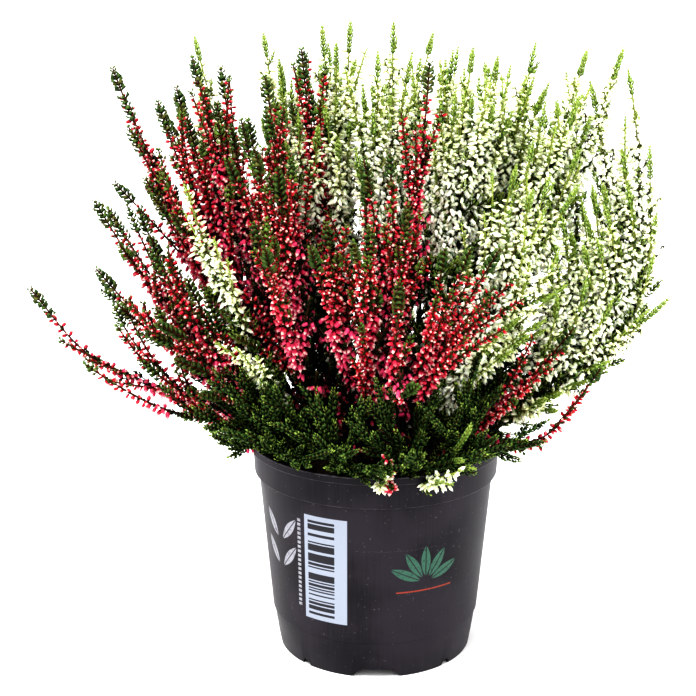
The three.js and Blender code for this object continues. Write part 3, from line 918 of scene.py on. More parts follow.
FRONT_SPRAYS = (
    Spray(
        RED, ((-109, 5, 252), (-111, 12, 203)),
        ((0.3, -96, -4, 208), (0.26, -92, -10, 201), (0.45, -105, 2, 241), (0.38, -102, -4, 229)),
    ),
    Spray(
        RED, ((-89, -10, 240), (-84, 15, 243), (-83, -25, 197)),
        ((0.4, -87, -2, 233), (0.44, -70, -10, 245), (0.36, -78, -6, 234)),
    ),
    Spray(RED, ((-74, -15, 258), (-65, 10, 252)), ((0.42, -65, -12, 240), (0.36, -59, -18, 231))),
    Spray(WHITE, ((-78, 35, 263), (-78, 16, 205))),
    Spray(
        WHITE, ((-48, 30, 264), (-41, 18, 254)),
        (
            (0.5, -32, 26, 247), (0.3, -32, -22, 236), (0.28, -24, -24, 232), (0.26, -37, -28, 227),
            (0.44, -36, 18, 245), (0.48, -33, 26, 251), (0.45, -40, 22, 251), (0.4, -44, 24, 237),
            (0.42, -48, 8, 230),
        ),
    ),
    Spray(RED, ((-45, -20, 251), (-44, -35, 239))),
    Spray(RED, ((-31, 0, 260),), ((0.42, -35, -6, 239), (0.4, -27, 4, 241), (0.36, -20, 2, 232))),
    Spray(
        WHITE, ((-23, 25, 268), (-17, 8, 262), (-11, 34, 269)),
        (
            (0.3, -16, -22, 227), (0.28, -21, -12, 238), (0.46, -24, 22, 252), (0.48, -20, 30, 257),
            (0.4, -15, 16, 247), (0.45, -29, 26, 246), (0.44, -17, 30, 253), (0.36, -11, -2, 233),
        ),
    ),
    Spray(
        WHITE, ((0, -5, 259), (14, 2, 258)),
        ((0.42, -6, 2, 245), (0.38, -2, -8, 237), (0.34, -9, -18, 222)),
    ),
    Spray(
        WHITE, ((7, 20, 270), (24, 28, 265)),
        ((0.48, -2, 14, 245), (0.44, 4, 18, 245), (0.42, 11, 12, 242)),
    ),
    Spray(RED, ((20, -25, 257),)),
    Spray(WHITE, ((31, 5, 259), (34, 19, 259))),
    Spray(
        WHITE, ((38, -10, 261), (46, -20, 240)),
        ((0.44, 28, 4, 255), (0.4, 31, -14, 244), (0.42, 26, 0, 240)),
    ),
    Spray(
        WHITE, ((49, 0, 257), (54, -15, 237)),
        ((0.46, 37, 4, 247), (0.44, 36, 8, 251), (0.4, 38, -12, 242)),
    ),
    Spray(
        WHITE, ((66, 15, 261), (61, 5, 241)),
        (
            (0.44, 69, 4, 243), (0.5, 72, 14, 245), (0.46, 43, 18, 247), (0.44, 46, 8, 252),
            (0.38, 47, -6, 237),
        ),
    ),
    Spray(
        WHITE, ((85, -2, 260), (81, -12, 242)),
        ((0.4, 62, 6, 241), (0.42, 68, -8, 239), (0.34, 63, -14, 225)),
    ),
    Spray(
        WHITE, ((101, 5, 260), (89, 20, 239)),
        ((0.36, 72, 4, 219), (0.4, 82, -12, 221), (0.44, 88, 2, 232)),
    ),
    Spray(
        WHITE, ((113, 0, 220), (104, 5, 187)),
        (
            (0.24, 78, -12, 163), (0.56, 90, 6, 211), (0.52, 91, 6, 198), (0.3, 75, -16, 195),
            (0.33, 80, -12, 187), (0.27, 72, -20, 185), (0.26, 71, -16, 174), (0.22, 70, -8, 208),
            (0.28, 77, 4, 238), (0.34, 84, -10, 200), (0.38, 88, 4, 246), (0.43, 93, -8, 206),
            (0.48, 103, 3, 252), (0.53, 99, -6, 186), (0.58, 106, -3, 196), (0.36, 88, -12, 206),
            (0.4, 85, -16, 195), (0.5, 96, 8, 218), (0.46, 93, -14, 198), (0.6, 116, -6, 193),
            (0.54, 115, -10, 176), (0.62, 110, 4, 208), (0.56, 103, -8, 206), (0.48, 101, -2, 220),
            (0.38, 84, -20, 183), (0.42, 90, -18, 185),
        ),
        route=((58, 0, 106), (99, 0, 127.5), (112, 0, 154), (115, 0, 180)), risers=6, inner=2,
    ),
    Spray(
        WHITE, ((68, -30, 213), (60, -42, 209), (80, -25, 208)),
        ((0.22, 58, -34, 162), (0.25, 67, -38, 152), (0.3, 76, -34, 170)),
    ),
    Spray(
        WHITE, ((54, -36, 218), (69, -50, 170)),
        (
            (0.2, 49, -60, 158), (0.16, 56, -48, 160), (0.18, 60, -46, 152), (0.14, 53, -48, 146),
            (0.2, 66, -46, 158),
        ),
    ),
    Spray(
        WHITE, ((122, -10, 158),),
        (
            (0.4, 88, -20, 125), (0.54, 98, -14, 132), (0.66, 114, -10, 153), (0.2, 69, -34, 122),
            (0.24, 76, -30, 123), (0.26, 74, -32, 116), (0.3, 74, -22, 162), (0.38, 86, -18, 168),
            (0.46, 97, -20, 160),
        ),
        lean=(0.7, 0.6), risers=2, inner=2,
    ),
    Spray(
        RED, ((-118, 0, 198), (-110, -15, 197)),
        ((0.42, -98, -8, 195), (0.36, -93, -14, 185), (0.3, -85, -24, 180), (0.46, -105, 4, 195)),
    ),
    Spray(
        RED, ((-91, -35, 184), (-93, -33, 149)),
        (
            (0.36, -77, -32, 172), (0.28, -72, -42, 126), (0.34, -82, -34, 138), (0.42, -98, -27, 148),
            (0.5, -88, -44, 156), (0.3, -69, -36, 167), (0.26, -66, -34, 158), (0.34, -73, -30, 160),
            (0.3, -71, -28, 149),
        ),
    ),
    Spray(RED, ((-117, -10, 171), (-107, -20, 158)), lean=(0.7, 0.6), flowers=0.8),
    Spray(
        RED, ((-147, 0, 160),),
        ((0.7, -135, -2, 138), (0.6, -125, 0, 129), (0.46, -113, 2, 118)),
        foot=27, route=((-56, 8, 99.6), (-82, 11, 108), (-105, 9, 118), (-126, 5, 131)), risers=0, inner=0,
        flowers=0.88, bough_tip=3.0, bough_flowers=0.97,
    ),
    Spray(
        RED, ((-54, -30, 235), (-59, -40, 221)),
        (
            (0.22, -57, -42, 150), (0.26, -63, -38, 160), (0.3, -71, -34, 168), (0.34, -66, -40, 176),
            (0.42, -52, -24, 235),
        ),
    ),
    Spray(RED, ((-48, -45, 226), (-39, -50, 219), (-34, -42, 222))),
    Spray(RED, ((-48, -65, 201), (-43, -75, 193))),
    Spray(RED, ((-20, -65, 201), (-26, -77, 194))),
    Spray(
        RED, ((-4, -68, 200), (-10, -78, 196)),
        ((0.3, -11, -64, 174), (0.26, -7, -70, 162), (0.22, -10, -66, 148), (0.3, -13, -58, 185)),
        bough_tip=4.0, inner=4,
    ),
    Spray(RED, ((7, -85, 183), (14, -80, 141)), risers=5, inner=2),
    Spray(RED, ((11, -55, 206), (4, -42, 224), (-6, -45, 222)), risers=5, inner=2),
    Spray(
        RED, ((24, -75, 193), (34, -70, 192), (46, -60, 190)),
        (
            (0.36, 35, -62, 180), (0.3, 27, -72, 176), (0.44, 45, -50, 172), (0.34, 41, -58, 165),
            (0.3, 21, -76, 174), (0.3, 32, -80, 160), (0.34, 52, -58, 178), (0.38, 48, -66, 160),
            (0.42, 40, -72, 172), (0.46, 57, -50, 168),
        ),
        risers=0, bough_tip=4.0,
    ),
    Spray(
        RED, ((79, -35, 152),),
        (
            (0.3, 62, -42, 150), (0.5, 76, -34, 144), (0.38, 69, -40, 137), (0.3, 62, -44, 131),
            (0.24, 55, -47, 125),
        ),
        lean=(0.7, 0.6), risers=0, inner=1, flowers=0.9, bough_tip=4.0, bough_flowers=0.95,
    ),
    Spray(
        RED, ((93, -22, 131),),
        ((0.62, 88, -26, 126), (0.34, 69, -26, 98), (0.28, 61, -28, 97)),
        foot=30, route=((54, -18, 99), (67, -22, 99.5), (78, -23, 109)), risers=0, inner=0, green_tip=5.0,
        flowers=0.95, bough_tip=3.0, bough_flowers=0.97,
    ),
)


def sprig(growth: Growth, foot: float, *tips: Point, green_tip: float = 2.0, age: float = 0.35) -> Spray:
    """Return a short shoot that hangs over the rim."""
    return Spray(growth, tips, foot=foot, risers=0, inner=0, green_tip=green_tip, flowers=0.85, age=age)


ADDED_SPRAYS = (
    Spray(
        WHITE, ((-76, -42, 212),),
        (
            (0.5, -76, -40, 200), (0.52, -64, -50, 192), (0.45, -59, -52, 184), (0.24, -56, -54, 149),
            (0.2, -48, -56, 146), (0.28, -64, -50, 150),
        ),
        foot=31, risers=0, inner=2, green_tip=9.0, flowers=0.34, bough_tip=3.0,
    ),
    Spray(
        RED, ((-109, -18, 157), (-98, -26, 136), (-82, -26, 112)),
        ((0.5, -83, -26, 131), (0.42, -77, -30, 125), (0.34, -73, -32, 119)),
        foot=38, route=((-54, -14, 101), (-70, -17, 110), (-87, -19, 126), (-102, -19, 143)), risers=4,
        inner=1, flowers=0.85, bough_tip=4.0, bough_flowers=0.95,
    ),
    sprig(WHITE, 45, (1, -68, 97), (4, -72, 106)),
    sprig(RED, 43, (5, -68, 96), (3, -73, 111)),
    sprig(WHITE, 44, (25, -67, 98), (29, -67, 97), (32, -71, 104)),
    sprig(WHITE, 44, (36, -66, 121), (33, -68, 107), (38, -66, 103), green_tip=40.0, age=0.0),
    Spray(
        RED, ((-5, -24, 213), (14, -18, 201)),
        ((0.4, -20, -16, 196), (0.34, 4, -32, 186), (0.3, 22, -28, 180)),
        risers=0, inner=1, bough_tip=4.0,
    ),
)


@dataclass(frozen=True)
class BackArc:
    """An arc of sprays behind the others, each with one side shoot."""

    sprays: int
    reach: float
    height: float
    start: float
    end: float
    side: Point


@dataclass(frozen=True)
class Layout:
    """The rules by which every stem is placed, in millimetres and degrees."""

    hole_depth: float = 5.0
    standing: float = 2.8
    foot_reach: float = 53.0
    foot_crowding: float = 0.85
    furthest_foot: float = 37.0
    fork: float = 0.4
    fork_step: float = 0.07
    side_bend: float = 0.3
    back_arcs: tuple[BackArc, ...] = (
        BackArc(6, 82, 226, 28, 152, (9, 12, -24)),
        BackArc(6, 112, 180, 18, 162, (-12, 4, -20)),
    )
    back_risers: int = 4
    back_white_below: float = 100.0
    back_jitter: Point = (3.0, 7.0, 12.0)
    back_seed: int = 7
    skirt_bearings: tuple[float, ...] = (198, 226, 254, 282, 310, 32, 68, 146)
    skirt_shoots: tuple[Point, ...] = (
        (0, 66, 105), (-15, 64, 114), (14, 64, 101), (-7, 62, 130), (8, 59, 121)
    )
    skirt_foot: float = 41.0
    skirt_lean: Pair = (0.35, 0.6)
    skirt_swing: tuple[float, ...] = (0, 4, -4, 8, -8)
    skirt_room: float = 8.0
    skirt_forks: tuple[float, ...] = (0.36, 0.46, 0.56)
    sample_step: float = 2.0

    def main_line(self, spray: Spray) -> StemLine:
        """Return a spray's own line: straight up out of its hole, then curving to its tip."""
        tip = Vector(spray.tips[0])
        reach = math.hypot(tip.x, tip.y)
        leaning = min(self.foot_reach * (reach / tip.z) ** self.foot_crowding, self.furthest_foot)
        toward = Vector(spray.route[0] if spray.route else tip)
        base = Vector((toward.x, toward.y, 0)).normalized() * (spray.foot or leaning)
        soil = SOIL.top(base.x, base.y)
        hole = Vector((base.x, base.y, soil - self.hole_depth))
        start = Vector((base.x, base.y, soil + self.standing))
        if spray.route:
            curve = smooth_route([start, *map(Vector, spray.route), tip])
        else:
            run = tip - start
            across, rise = spray.lean
            curve = bend(start, start + Vector((run.x * across, run.y * across, run.z * rise)), tip)
        return StemLine([hole, *curve])

    def side_line(self, parent: StemLine, tip: Sequence[float], fork: float) -> StemLine:
        """Return the line of a side shoot that leaves its parent at a fork and ends at its tip."""
        start, end = parent.at(fork), Vector(tip)
        follow = start + parent.direction(fork) * (end - start).length * self.side_bend
        return StemLine(bend(start, follow.lerp(end, self.side_bend), end))

    def spray_stems(self, spray: Spray) -> list[Stem]:
        """Return a spray's stem and those of its side shoots."""
        main = self.main_line(spray)
        forks = tuple(self.fork - self.fork_step * i for i in range(len(spray.tips) - 1))
        sides = [self.side_line(main, tip, fork) for tip, fork in zip(spray.tips[1:], forks)]
        boughs = [self.side_line(main, tip, share) for share, *tip in spray.boughs]
        return [
            Stem(main, Part.OWN, spray.green_tip, spray.flowers, age=spray.age),
            *(Stem(line, Part.SIDE, spray.green_tip, spray.flowers, age=spray.age) for line in sides),
            *(Stem(line, Part.BOUGH, spray.bough_tip, spray.bough_flowers) for line in boughs),
        ]

    def back_sprays(self) -> list[Spray]:
        """Return the sprays of the arcs behind, white on the right and red on the left."""
        state = self.back_seed
        sprays = []
        for arc in self.back_arcs:
            for i in range(arc.sprays):
                shifts = []
                for size in self.back_jitter:
                    state = (state * 1664525 + 1013904223) % 2**32
                    shifts.append((state / 2**32 - 0.5) * 2 * size)
                bearing = arc.start + (arc.end - arc.start) * i / (arc.sprays - 1)
                turn = math.radians(bearing + shifts[0])
                reach = arc.reach + shifts[1]
                tip = (reach * math.cos(turn), reach * math.sin(turn), arc.height + shifts[2])
                side = (tip[0] + arc.side[0], tip[1] + arc.side[1], tip[2] + arc.side[2])
                growth = WHITE if bearing < self.back_white_below else RED
                sprays.append(Spray(growth, (tip, side), risers=self.back_risers, inner=0))
        return sprays

    def _room(self, line: StemLine, taken: np.ndarray) -> float:
        """Return how far a line stays from the stems already placed, up to the room it needs."""
        points = np.array(line.spaced(self.sample_step))
        gaps = points[:, None, :] - taken[None, :, :]
        nearest = float((gaps**2).sum(axis=2).min())
        return min(math.sqrt(max(nearest - (self.sample_step / 2) ** 2, 0.0)), self.skirt_room)

    def skirt_stems(self, bearing: float, taken: np.ndarray) -> list[Stem]:
        """Return the stems of a tuft that hides the sprays' feet and reaches over the rim.

        Args:
            bearing: The way that the tuft points, in degrees.
            taken: Points along every stem already placed.

        Returns:
            Its main shoot and then the others.
        """

        def place(shoot: Point, swing: float) -> Point:
            turn = math.radians(bearing + shoot[0] + swing)
            return (shoot[1] * math.cos(turn), shoot[1] * math.sin(turn), shoot[2])

        def clearest(lines: list[StemLine]) -> StemLine:
            rooms = [self._room(line, taken) for line in lines]
            return lines[rooms.index(max(rooms))]

        first, *others = self.skirt_shoots
        foot, lean = self.skirt_foot, self.skirt_lean
        tips = [place(first, swing) for swing in self.skirt_swing]
        main = clearest([self.main_line(Spray(Growth.LEAFY, (tip,), foot=foot, lean=lean)) for tip in tips])
        forks = tuple(self.skirt_forks[i % len(self.skirt_forks)] for i in range(len(others)))
        stems = [Stem(main)]
        for shoot, fork in zip(others, forks):
            ways = [self.side_line(main, place(shoot, swing), fork) for swing in self.skirt_swing]
            stems.append(Stem(clearest(ways), Part.SIDE))
        return stems

    def plants(self) -> list[Plant]:
        """Return every plant, named as its solid is."""
        plants: list[Plant] = []
        counts = {growth: 0 for growth in Growth}
        for spray in [*FRONT_SPRAYS, *self.back_sprays()]:
            counts[spray.growth] += 1
            number = f"{counts[spray.growth]:02d}"
            node = f"{spray.growth.value}_{number}"
            stems = self.spray_stems(spray)
            plants.append(Plant(number, node, spray.growth, stems, spray.risers, spray.inner))
        for i, bearing in enumerate(self.skirt_bearings):
            lines = [stem.line for plant in plants for stem in plant.stems]
            taken = np.array([point for line in lines for point in line.spaced(self.sample_step)])
            stems = self.skirt_stems(bearing, taken)
            plants.append(Plant(str(i + 1), f"{Growth.LEAFY.value}_{i + 1}", Growth.LEAFY, stems))
        for i, spray in enumerate(ADDED_SPRAYS):
            stems = self.spray_stems(spray)
            plants.append(Plant(f"added_{i + 1}", None, spray.growth, stems, spray.risers, spray.inner))
        return plants


@dataclass(frozen=True)
class ShootRule:
    """How further shoots leave a plant's stems and fill the bush, in millimetres."""

    part: Part
    lowest: float
    highest: float
    upward: float
    spread: float
    lengths: Pair
    headroom: Pair
    side_share: float = 0.5
    follow: float = 0.35
    long_tips: float = 0.3
    long_tip: float = 8.5
    short_tip: float = 4.0
    over: float = 6.0
    least_share: float = 0.7
    least_rise: float = 0.2
    least_young: float = 0.2
    front: float = -91.0
    back: float = 116.0
    outline: tuple[Pair, ...] = (
        (-150, 150), (-120, 196), (-112, 236), (-75, 258), (0, 268),
        (104, 262), (107, 206), (117, 206), (120, 164), (128, 158),
    )

    def ceiling(self, x: float) -> float:
        """Return how high the bush reaches at a place from left to right."""
        xs, heights = zip(*self.outline)
        return float(np.interp(x, xs, heights))

    def room(self, start: Vector, ahead: Vector, length: float, below: float, summit: float) -> float:
        """Return how long a shoot may get, up to a length, before it leaves the bush.

        Args:
            start: Where it begins.
            ahead: The way it points.
            length: The length wanted.
            below: How far it stays under the top of the bush or of its plant.
            summit: The height of its plant.

        Returns:
            The length, which is under zero where it begins outside the bush.
        """
        top = min(self.ceiling(start.x + ahead.x * length), summit) - below
        length = min(length, (top - start.z) / max(ahead.z, self.least_rise))
        edge = self.back if ahead.y > 0 else self.front
        return min(length, (edge - start.y) / ahead.y) if ahead.y else length

    def stems(self, plant: Plant, wanted: int, draw: random.Random) -> list[Stem]:
        """Return a plant's further shoots.

        Args:
            plant: The plant whose own stems they leave.
            wanted: How many leave its main stem.
            draw: Where random values come from.

        Returns:
            The shoots that find room for a fair length.
        """
        shoots = []
        summit = max(stem.line.points[-1].z for stem in plant.stems) + self.over
        for stem in plant.stems:
            if stem.part is Part.BOUGH:
                continue
            count = wanted if stem.part is Part.OWN else round(wanted * self.side_share)
            for i in range(count):
                share = self.lowest + (self.highest - self.lowest) * (i + draw.random()) / count
                start, along = stem.line.at(share), stem.line.direction(share)
                aside = Vector((draw.uniform(-1, 1), draw.uniform(-1, 1), 0)) * self.spread
                ahead = (along * (1 - self.upward) + UP * self.upward + aside).normalized()
                wish, below = draw.uniform(*self.lengths), draw.uniform(*self.headroom)
                length = self.room(start, ahead, wish, below, summit)
                if length < self.lengths[0] * self.least_share:
                    continue
                turn = start + along * length * self.follow
                line = StemLine(bend(start, turn, start + ahead * length))
                green_tip = self.long_tip if draw.random() < self.long_tips else self.short_tip
                young = draw.uniform(self.least_young, 1.0) if self.part is Part.RISER else 0.0
                shoots.append(Stem(line, self.part, green_tip, young=young))
        return shoots


RISERS = ShootRule(
    part=Part.RISER,
    lowest=0.4,
    highest=0.8,
    upward=0.38,
    spread=0.22,
    lengths=(34.0, 86.0),
    headroom=(5.0, 50.0),
)
INNER_SHOOTS = ShootRule(
    part=Part.LEAFY,
    lowest=0.08,
    highest=0.42,
    upward=0.3,
    spread=0.55,
    lengths=(20.0, 38.0),
    headroom=(10.0, 40.0),
    side_share=0.35,
)
TUFT_SHOOTS = ShootRule(
    part=Part.LEAFY,
    lowest=0.3,
    highest=0.85,
    upward=0.15,
    spread=0.5,
    lengths=(18.0, 34.0),
    headroom=(60.0, 90.0),
    over=100.0,
)


# ---- Growing ---------------------------------------------------------------------------------


class Pattern:
    """A small shape that a growth tree repeats. It is kept out of the scene."""

    def __init__(
        self, name: str, vertices: list[Point], faces: list[tuple[int, ...]], along: list[float]
    ) -> None:
        """Make the shape.

        Args:
            name: Its name.
            vertices: Its corners, in millimetres.
            faces: Its faces.
            along: How far along itself each corner is, from 0 to 1.
        """
        mesh = bpy.data.meshes.new(name)
        mesh.from_pydata([Vector(corner) * MM for corner in vertices], [], faces)
        trait = mesh.attributes.new(Trait.ALONG.value, "FLOAT", "POINT")
        trait.data.foreach_set("value", along)
        shape = bmesh.new()
        shape.from_mesh(mesh)
        bmesh.ops.recalc_face_normals(shape, faces=shape.faces[:])
        shape.to_mesh(mesh)
        shape.free()
        mesh.shade_smooth()
        self.object = bpy.data.objects.new(name, mesh)

    def remove(self) -> None:
        """Delete the shape once nothing repeats it any more."""
        mesh = self.object.data
        bpy.data.objects.remove(self.object)
        bpy.data.meshes.remove(mesh)


@dataclass(frozen=True)
class BudShape:
    """A closed bud on its short stalk, pointing up from its foot, in millimetres."""

    name: str
    rings: tuple[Pair, ...]
    length: float
    sides: int = 4

    def pattern(self) -> Pattern:
        """Return the bud as a shape to repeat."""
        vertices: list[Point] = [(0.0, 0.0, 0.0)]
        along = [0.0]
        for height, radius in self.rings:
            for k in range(self.sides):
                turn = k / self.sides * math.tau
                vertices.append((radius * math.cos(turn), radius * math.sin(turn), height))
                along.append(height / self.length)
        vertices.append((0.0, 0.0, self.length))
        along.append(1.0)
        faces: list[tuple[int, ...]] = []
        last = len(vertices) - 1
        for k in range(self.sides):
            after = (k + 1) % self.sides
            faces.append((0, 1 + after, 1 + k))
            for j in range(len(self.rings) - 1):
                low, high = 1 + j * self.sides, 1 + (j + 1) * self.sides
                faces.append((low + k, low + after, high + after, high + k))
            top = last - self.sides
            faces.append((top + k, top + after, last))
        return Pattern(self.name, vertices, faces, along)


@dataclass(frozen=True)
class LeafPairShape:
    """Two keeled scale leaves on opposite sides of a shoot, pointing up along it, in millimetres."""

    name: str = "scale_leaf_pair"
    length: float = 2.7
    width: float = 1.45
    keel: float = 0.95
    keel_height: float = 1.05
    tip: float = 1.2
    faces: tuple[tuple[int, ...], ...] = ((0, 1, 2), (1, 3, 2), (0, 3, 1), (0, 2, 3))

    def pattern(self) -> Pattern:
        """Return the pair as a shape to repeat."""
        vertices: list[Point] = []
        faces: list[tuple[int, ...]] = []
        along: list[float] = []
        for side in (1, -1):
            foot = len(vertices)
            half = self.width / 2 * side
            vertices += [
                (0.0, 0.0, 0.0),
                (self.keel * side, half, self.keel_height),
                (self.keel * side, -half, self.keel_height),
                (self.tip * side, 0.0, self.length),
            ]
            along += [0.0, 0.4, 0.4, 1.0]
            faces += [tuple(foot + corner for corner in face) for face in self.faces]
        return Pattern(self.name, vertices, faces, along)


@dataclass(frozen=True)
class Habit:
    """How one kind of plant grows. Lengths are in millimetres, measured down from a shoot's tip."""

    growth: Growth
    slot: str
    piece: str
    buds: BudShape
    bud_finish: BudFinish
    leaf_finish: LeafFinish
    bark_finish: BarkFinish
    green_tip: float = 14.0
    flower_share: float = 0.5
    side_flower_share: float = 0.76
    riser_flower_share: float = 0.68
    bare_foot: float = 8.0
    tip_thickness: float = 0.32
    foot_thickness: float = 0.95
    foot_taper: float = 1.5
    side_thickening: float = 0.4
    flower_twigs: Pair = (40.0, 90.0)
    leafy_twigs: Pair = (4.0, 12.0)
    leafy_plump: float = 1.25
    leafy_cover: float = 0.5
    # the age that leafy shoots count as everywhere, which darkens their leaves with painted shade
    leafy_shaded_age: float = 1.0
    bloom_full: float = 50.0
    tip_bloom: float = 0.95
    stem_leaf: float = 0.2
    tip_plump: float = 2.1
    plump_reach: float = 1.2
    young_reach: float = 1.6
    aged_from: float = 12.0
    aged_full: float = 75.0
    green_wood: float = 0.3
    bud_spacing: float = 1.06
    bud_size: float = 1.0
    bud_droop: float = 0.45
    twig_spacing: float = 4.2
    twig_length: float = 12.0
    twig_leafy: float = 0.45
    twig_lean: Pair = (0.6, 0.95)
    twig_plump: float = 1.25
    twig_cover: float = 0.7
    leaf_spacing: float = 1.2
    leaf_size: float = 1.0
    fresh_length: float = 4.0
    freshness: Pair = (0.0, 0.7)

    def traits(self, stem: Stem, from_tip: float) -> dict[Trait, float]:
        """Return what grows at a distance from a stem's tip.

        Args:
            stem: The stem.
            from_tip: The distance down from its tip, in millimetres.

        Returns:
            A value for each trait that a skeleton carries.
        """
        length = stem.line.length
        down = from_tip / length
        is_own = stem.part is Part.OWN
        is_leafy = stem.part is Part.LEAFY or self.growth is Growth.LEAFY
        green_tip = stem.green_tip or self.green_tip
        shares = {Part.OWN: self.flower_share, Part.RISER: self.riser_flower_share}
        usual = shares.get(stem.part, self.side_flower_share)
        flowers_to = usual if stem.flowers is None else stem.flowers
        flowering = not is_leafy and from_tip > green_tip and down < flowers_to
        rooted = is_own and length - from_tip < self.bare_foot
        fullness = self.tip_bloom + (1 - self.tip_bloom) * min(from_tip / self.bloom_full, 1)
        bloom = fullness if flowering else 0.0
        leaf = self.stem_leaf if bloom else 1.0
        twigs_from, twigs_full = self.leafy_twigs if is_leafy else self.flower_twigs
        ramp = (from_tip - twigs_from) / (twigs_full - twigs_from)
        widened = down**self.foot_taper if is_own else down * self.side_thickening
        thickening = (self.foot_thickness - self.tip_thickness) * widened
        aged = min(max((from_tip - self.aged_from) / (self.aged_full - self.aged_from), 0), 1)
        plump = self.tip_plump if from_tip < green_tip * self.plump_reach else 1.0
        return {
            Trait.FROM_TIP: from_tip * MM,
            Trait.BLOOM: bloom,
            Trait.LEAF: 0.0 if rooted else leaf * (self.leafy_cover if is_leafy else 1.0),
            Trait.TWIG: 0.0 if rooted else min(max(ramp, 0.0), 1.0),
            Trait.THICKNESS: (self.tip_thickness + thickening) * MM,
            Trait.PLUMP: self.leafy_plump if is_leafy else plump,
            Trait.AGE: max(aged, self.leafy_shaded_age) if is_leafy else max(aged, stem.age),
            Trait.FRESH: self.green_wood * max(0.0, 1 - from_tip / self.bloom_full),
            Trait.YOUNG: stem.young if from_tip < green_tip * self.young_reach else 0.0,
        }

    def inputs(self) -> dict[str, float]:
        """Return the sizes that the growth tree is given, by the names of its inputs."""
        return {
            "Bud Spacing": self.bud_spacing * MM,
            "Bud Size": self.bud_size,
            "Bud Droop": self.bud_droop,
            "Twig Spacing": self.twig_spacing * MM,
            "Twig Length": self.twig_length * MM,
            "Twig Leafy Share": self.twig_leafy,
            "Least Twig Lean": self.twig_lean[0],
            "Most Twig Lean": self.twig_lean[1],
            "Twig Thickness": self.tip_thickness * MM,
            "Twig Plumpness": self.twig_plump,
            "Twig Cover": self.twig_cover,
            "Leaf Spacing": self.leaf_spacing * MM,
            "Leaf Size": self.leaf_size,
            "Fresh Length": self.fresh_length * MM,
            "Least Freshness": self.freshness[0],
            "Most Freshness": self.freshness[1],
        }


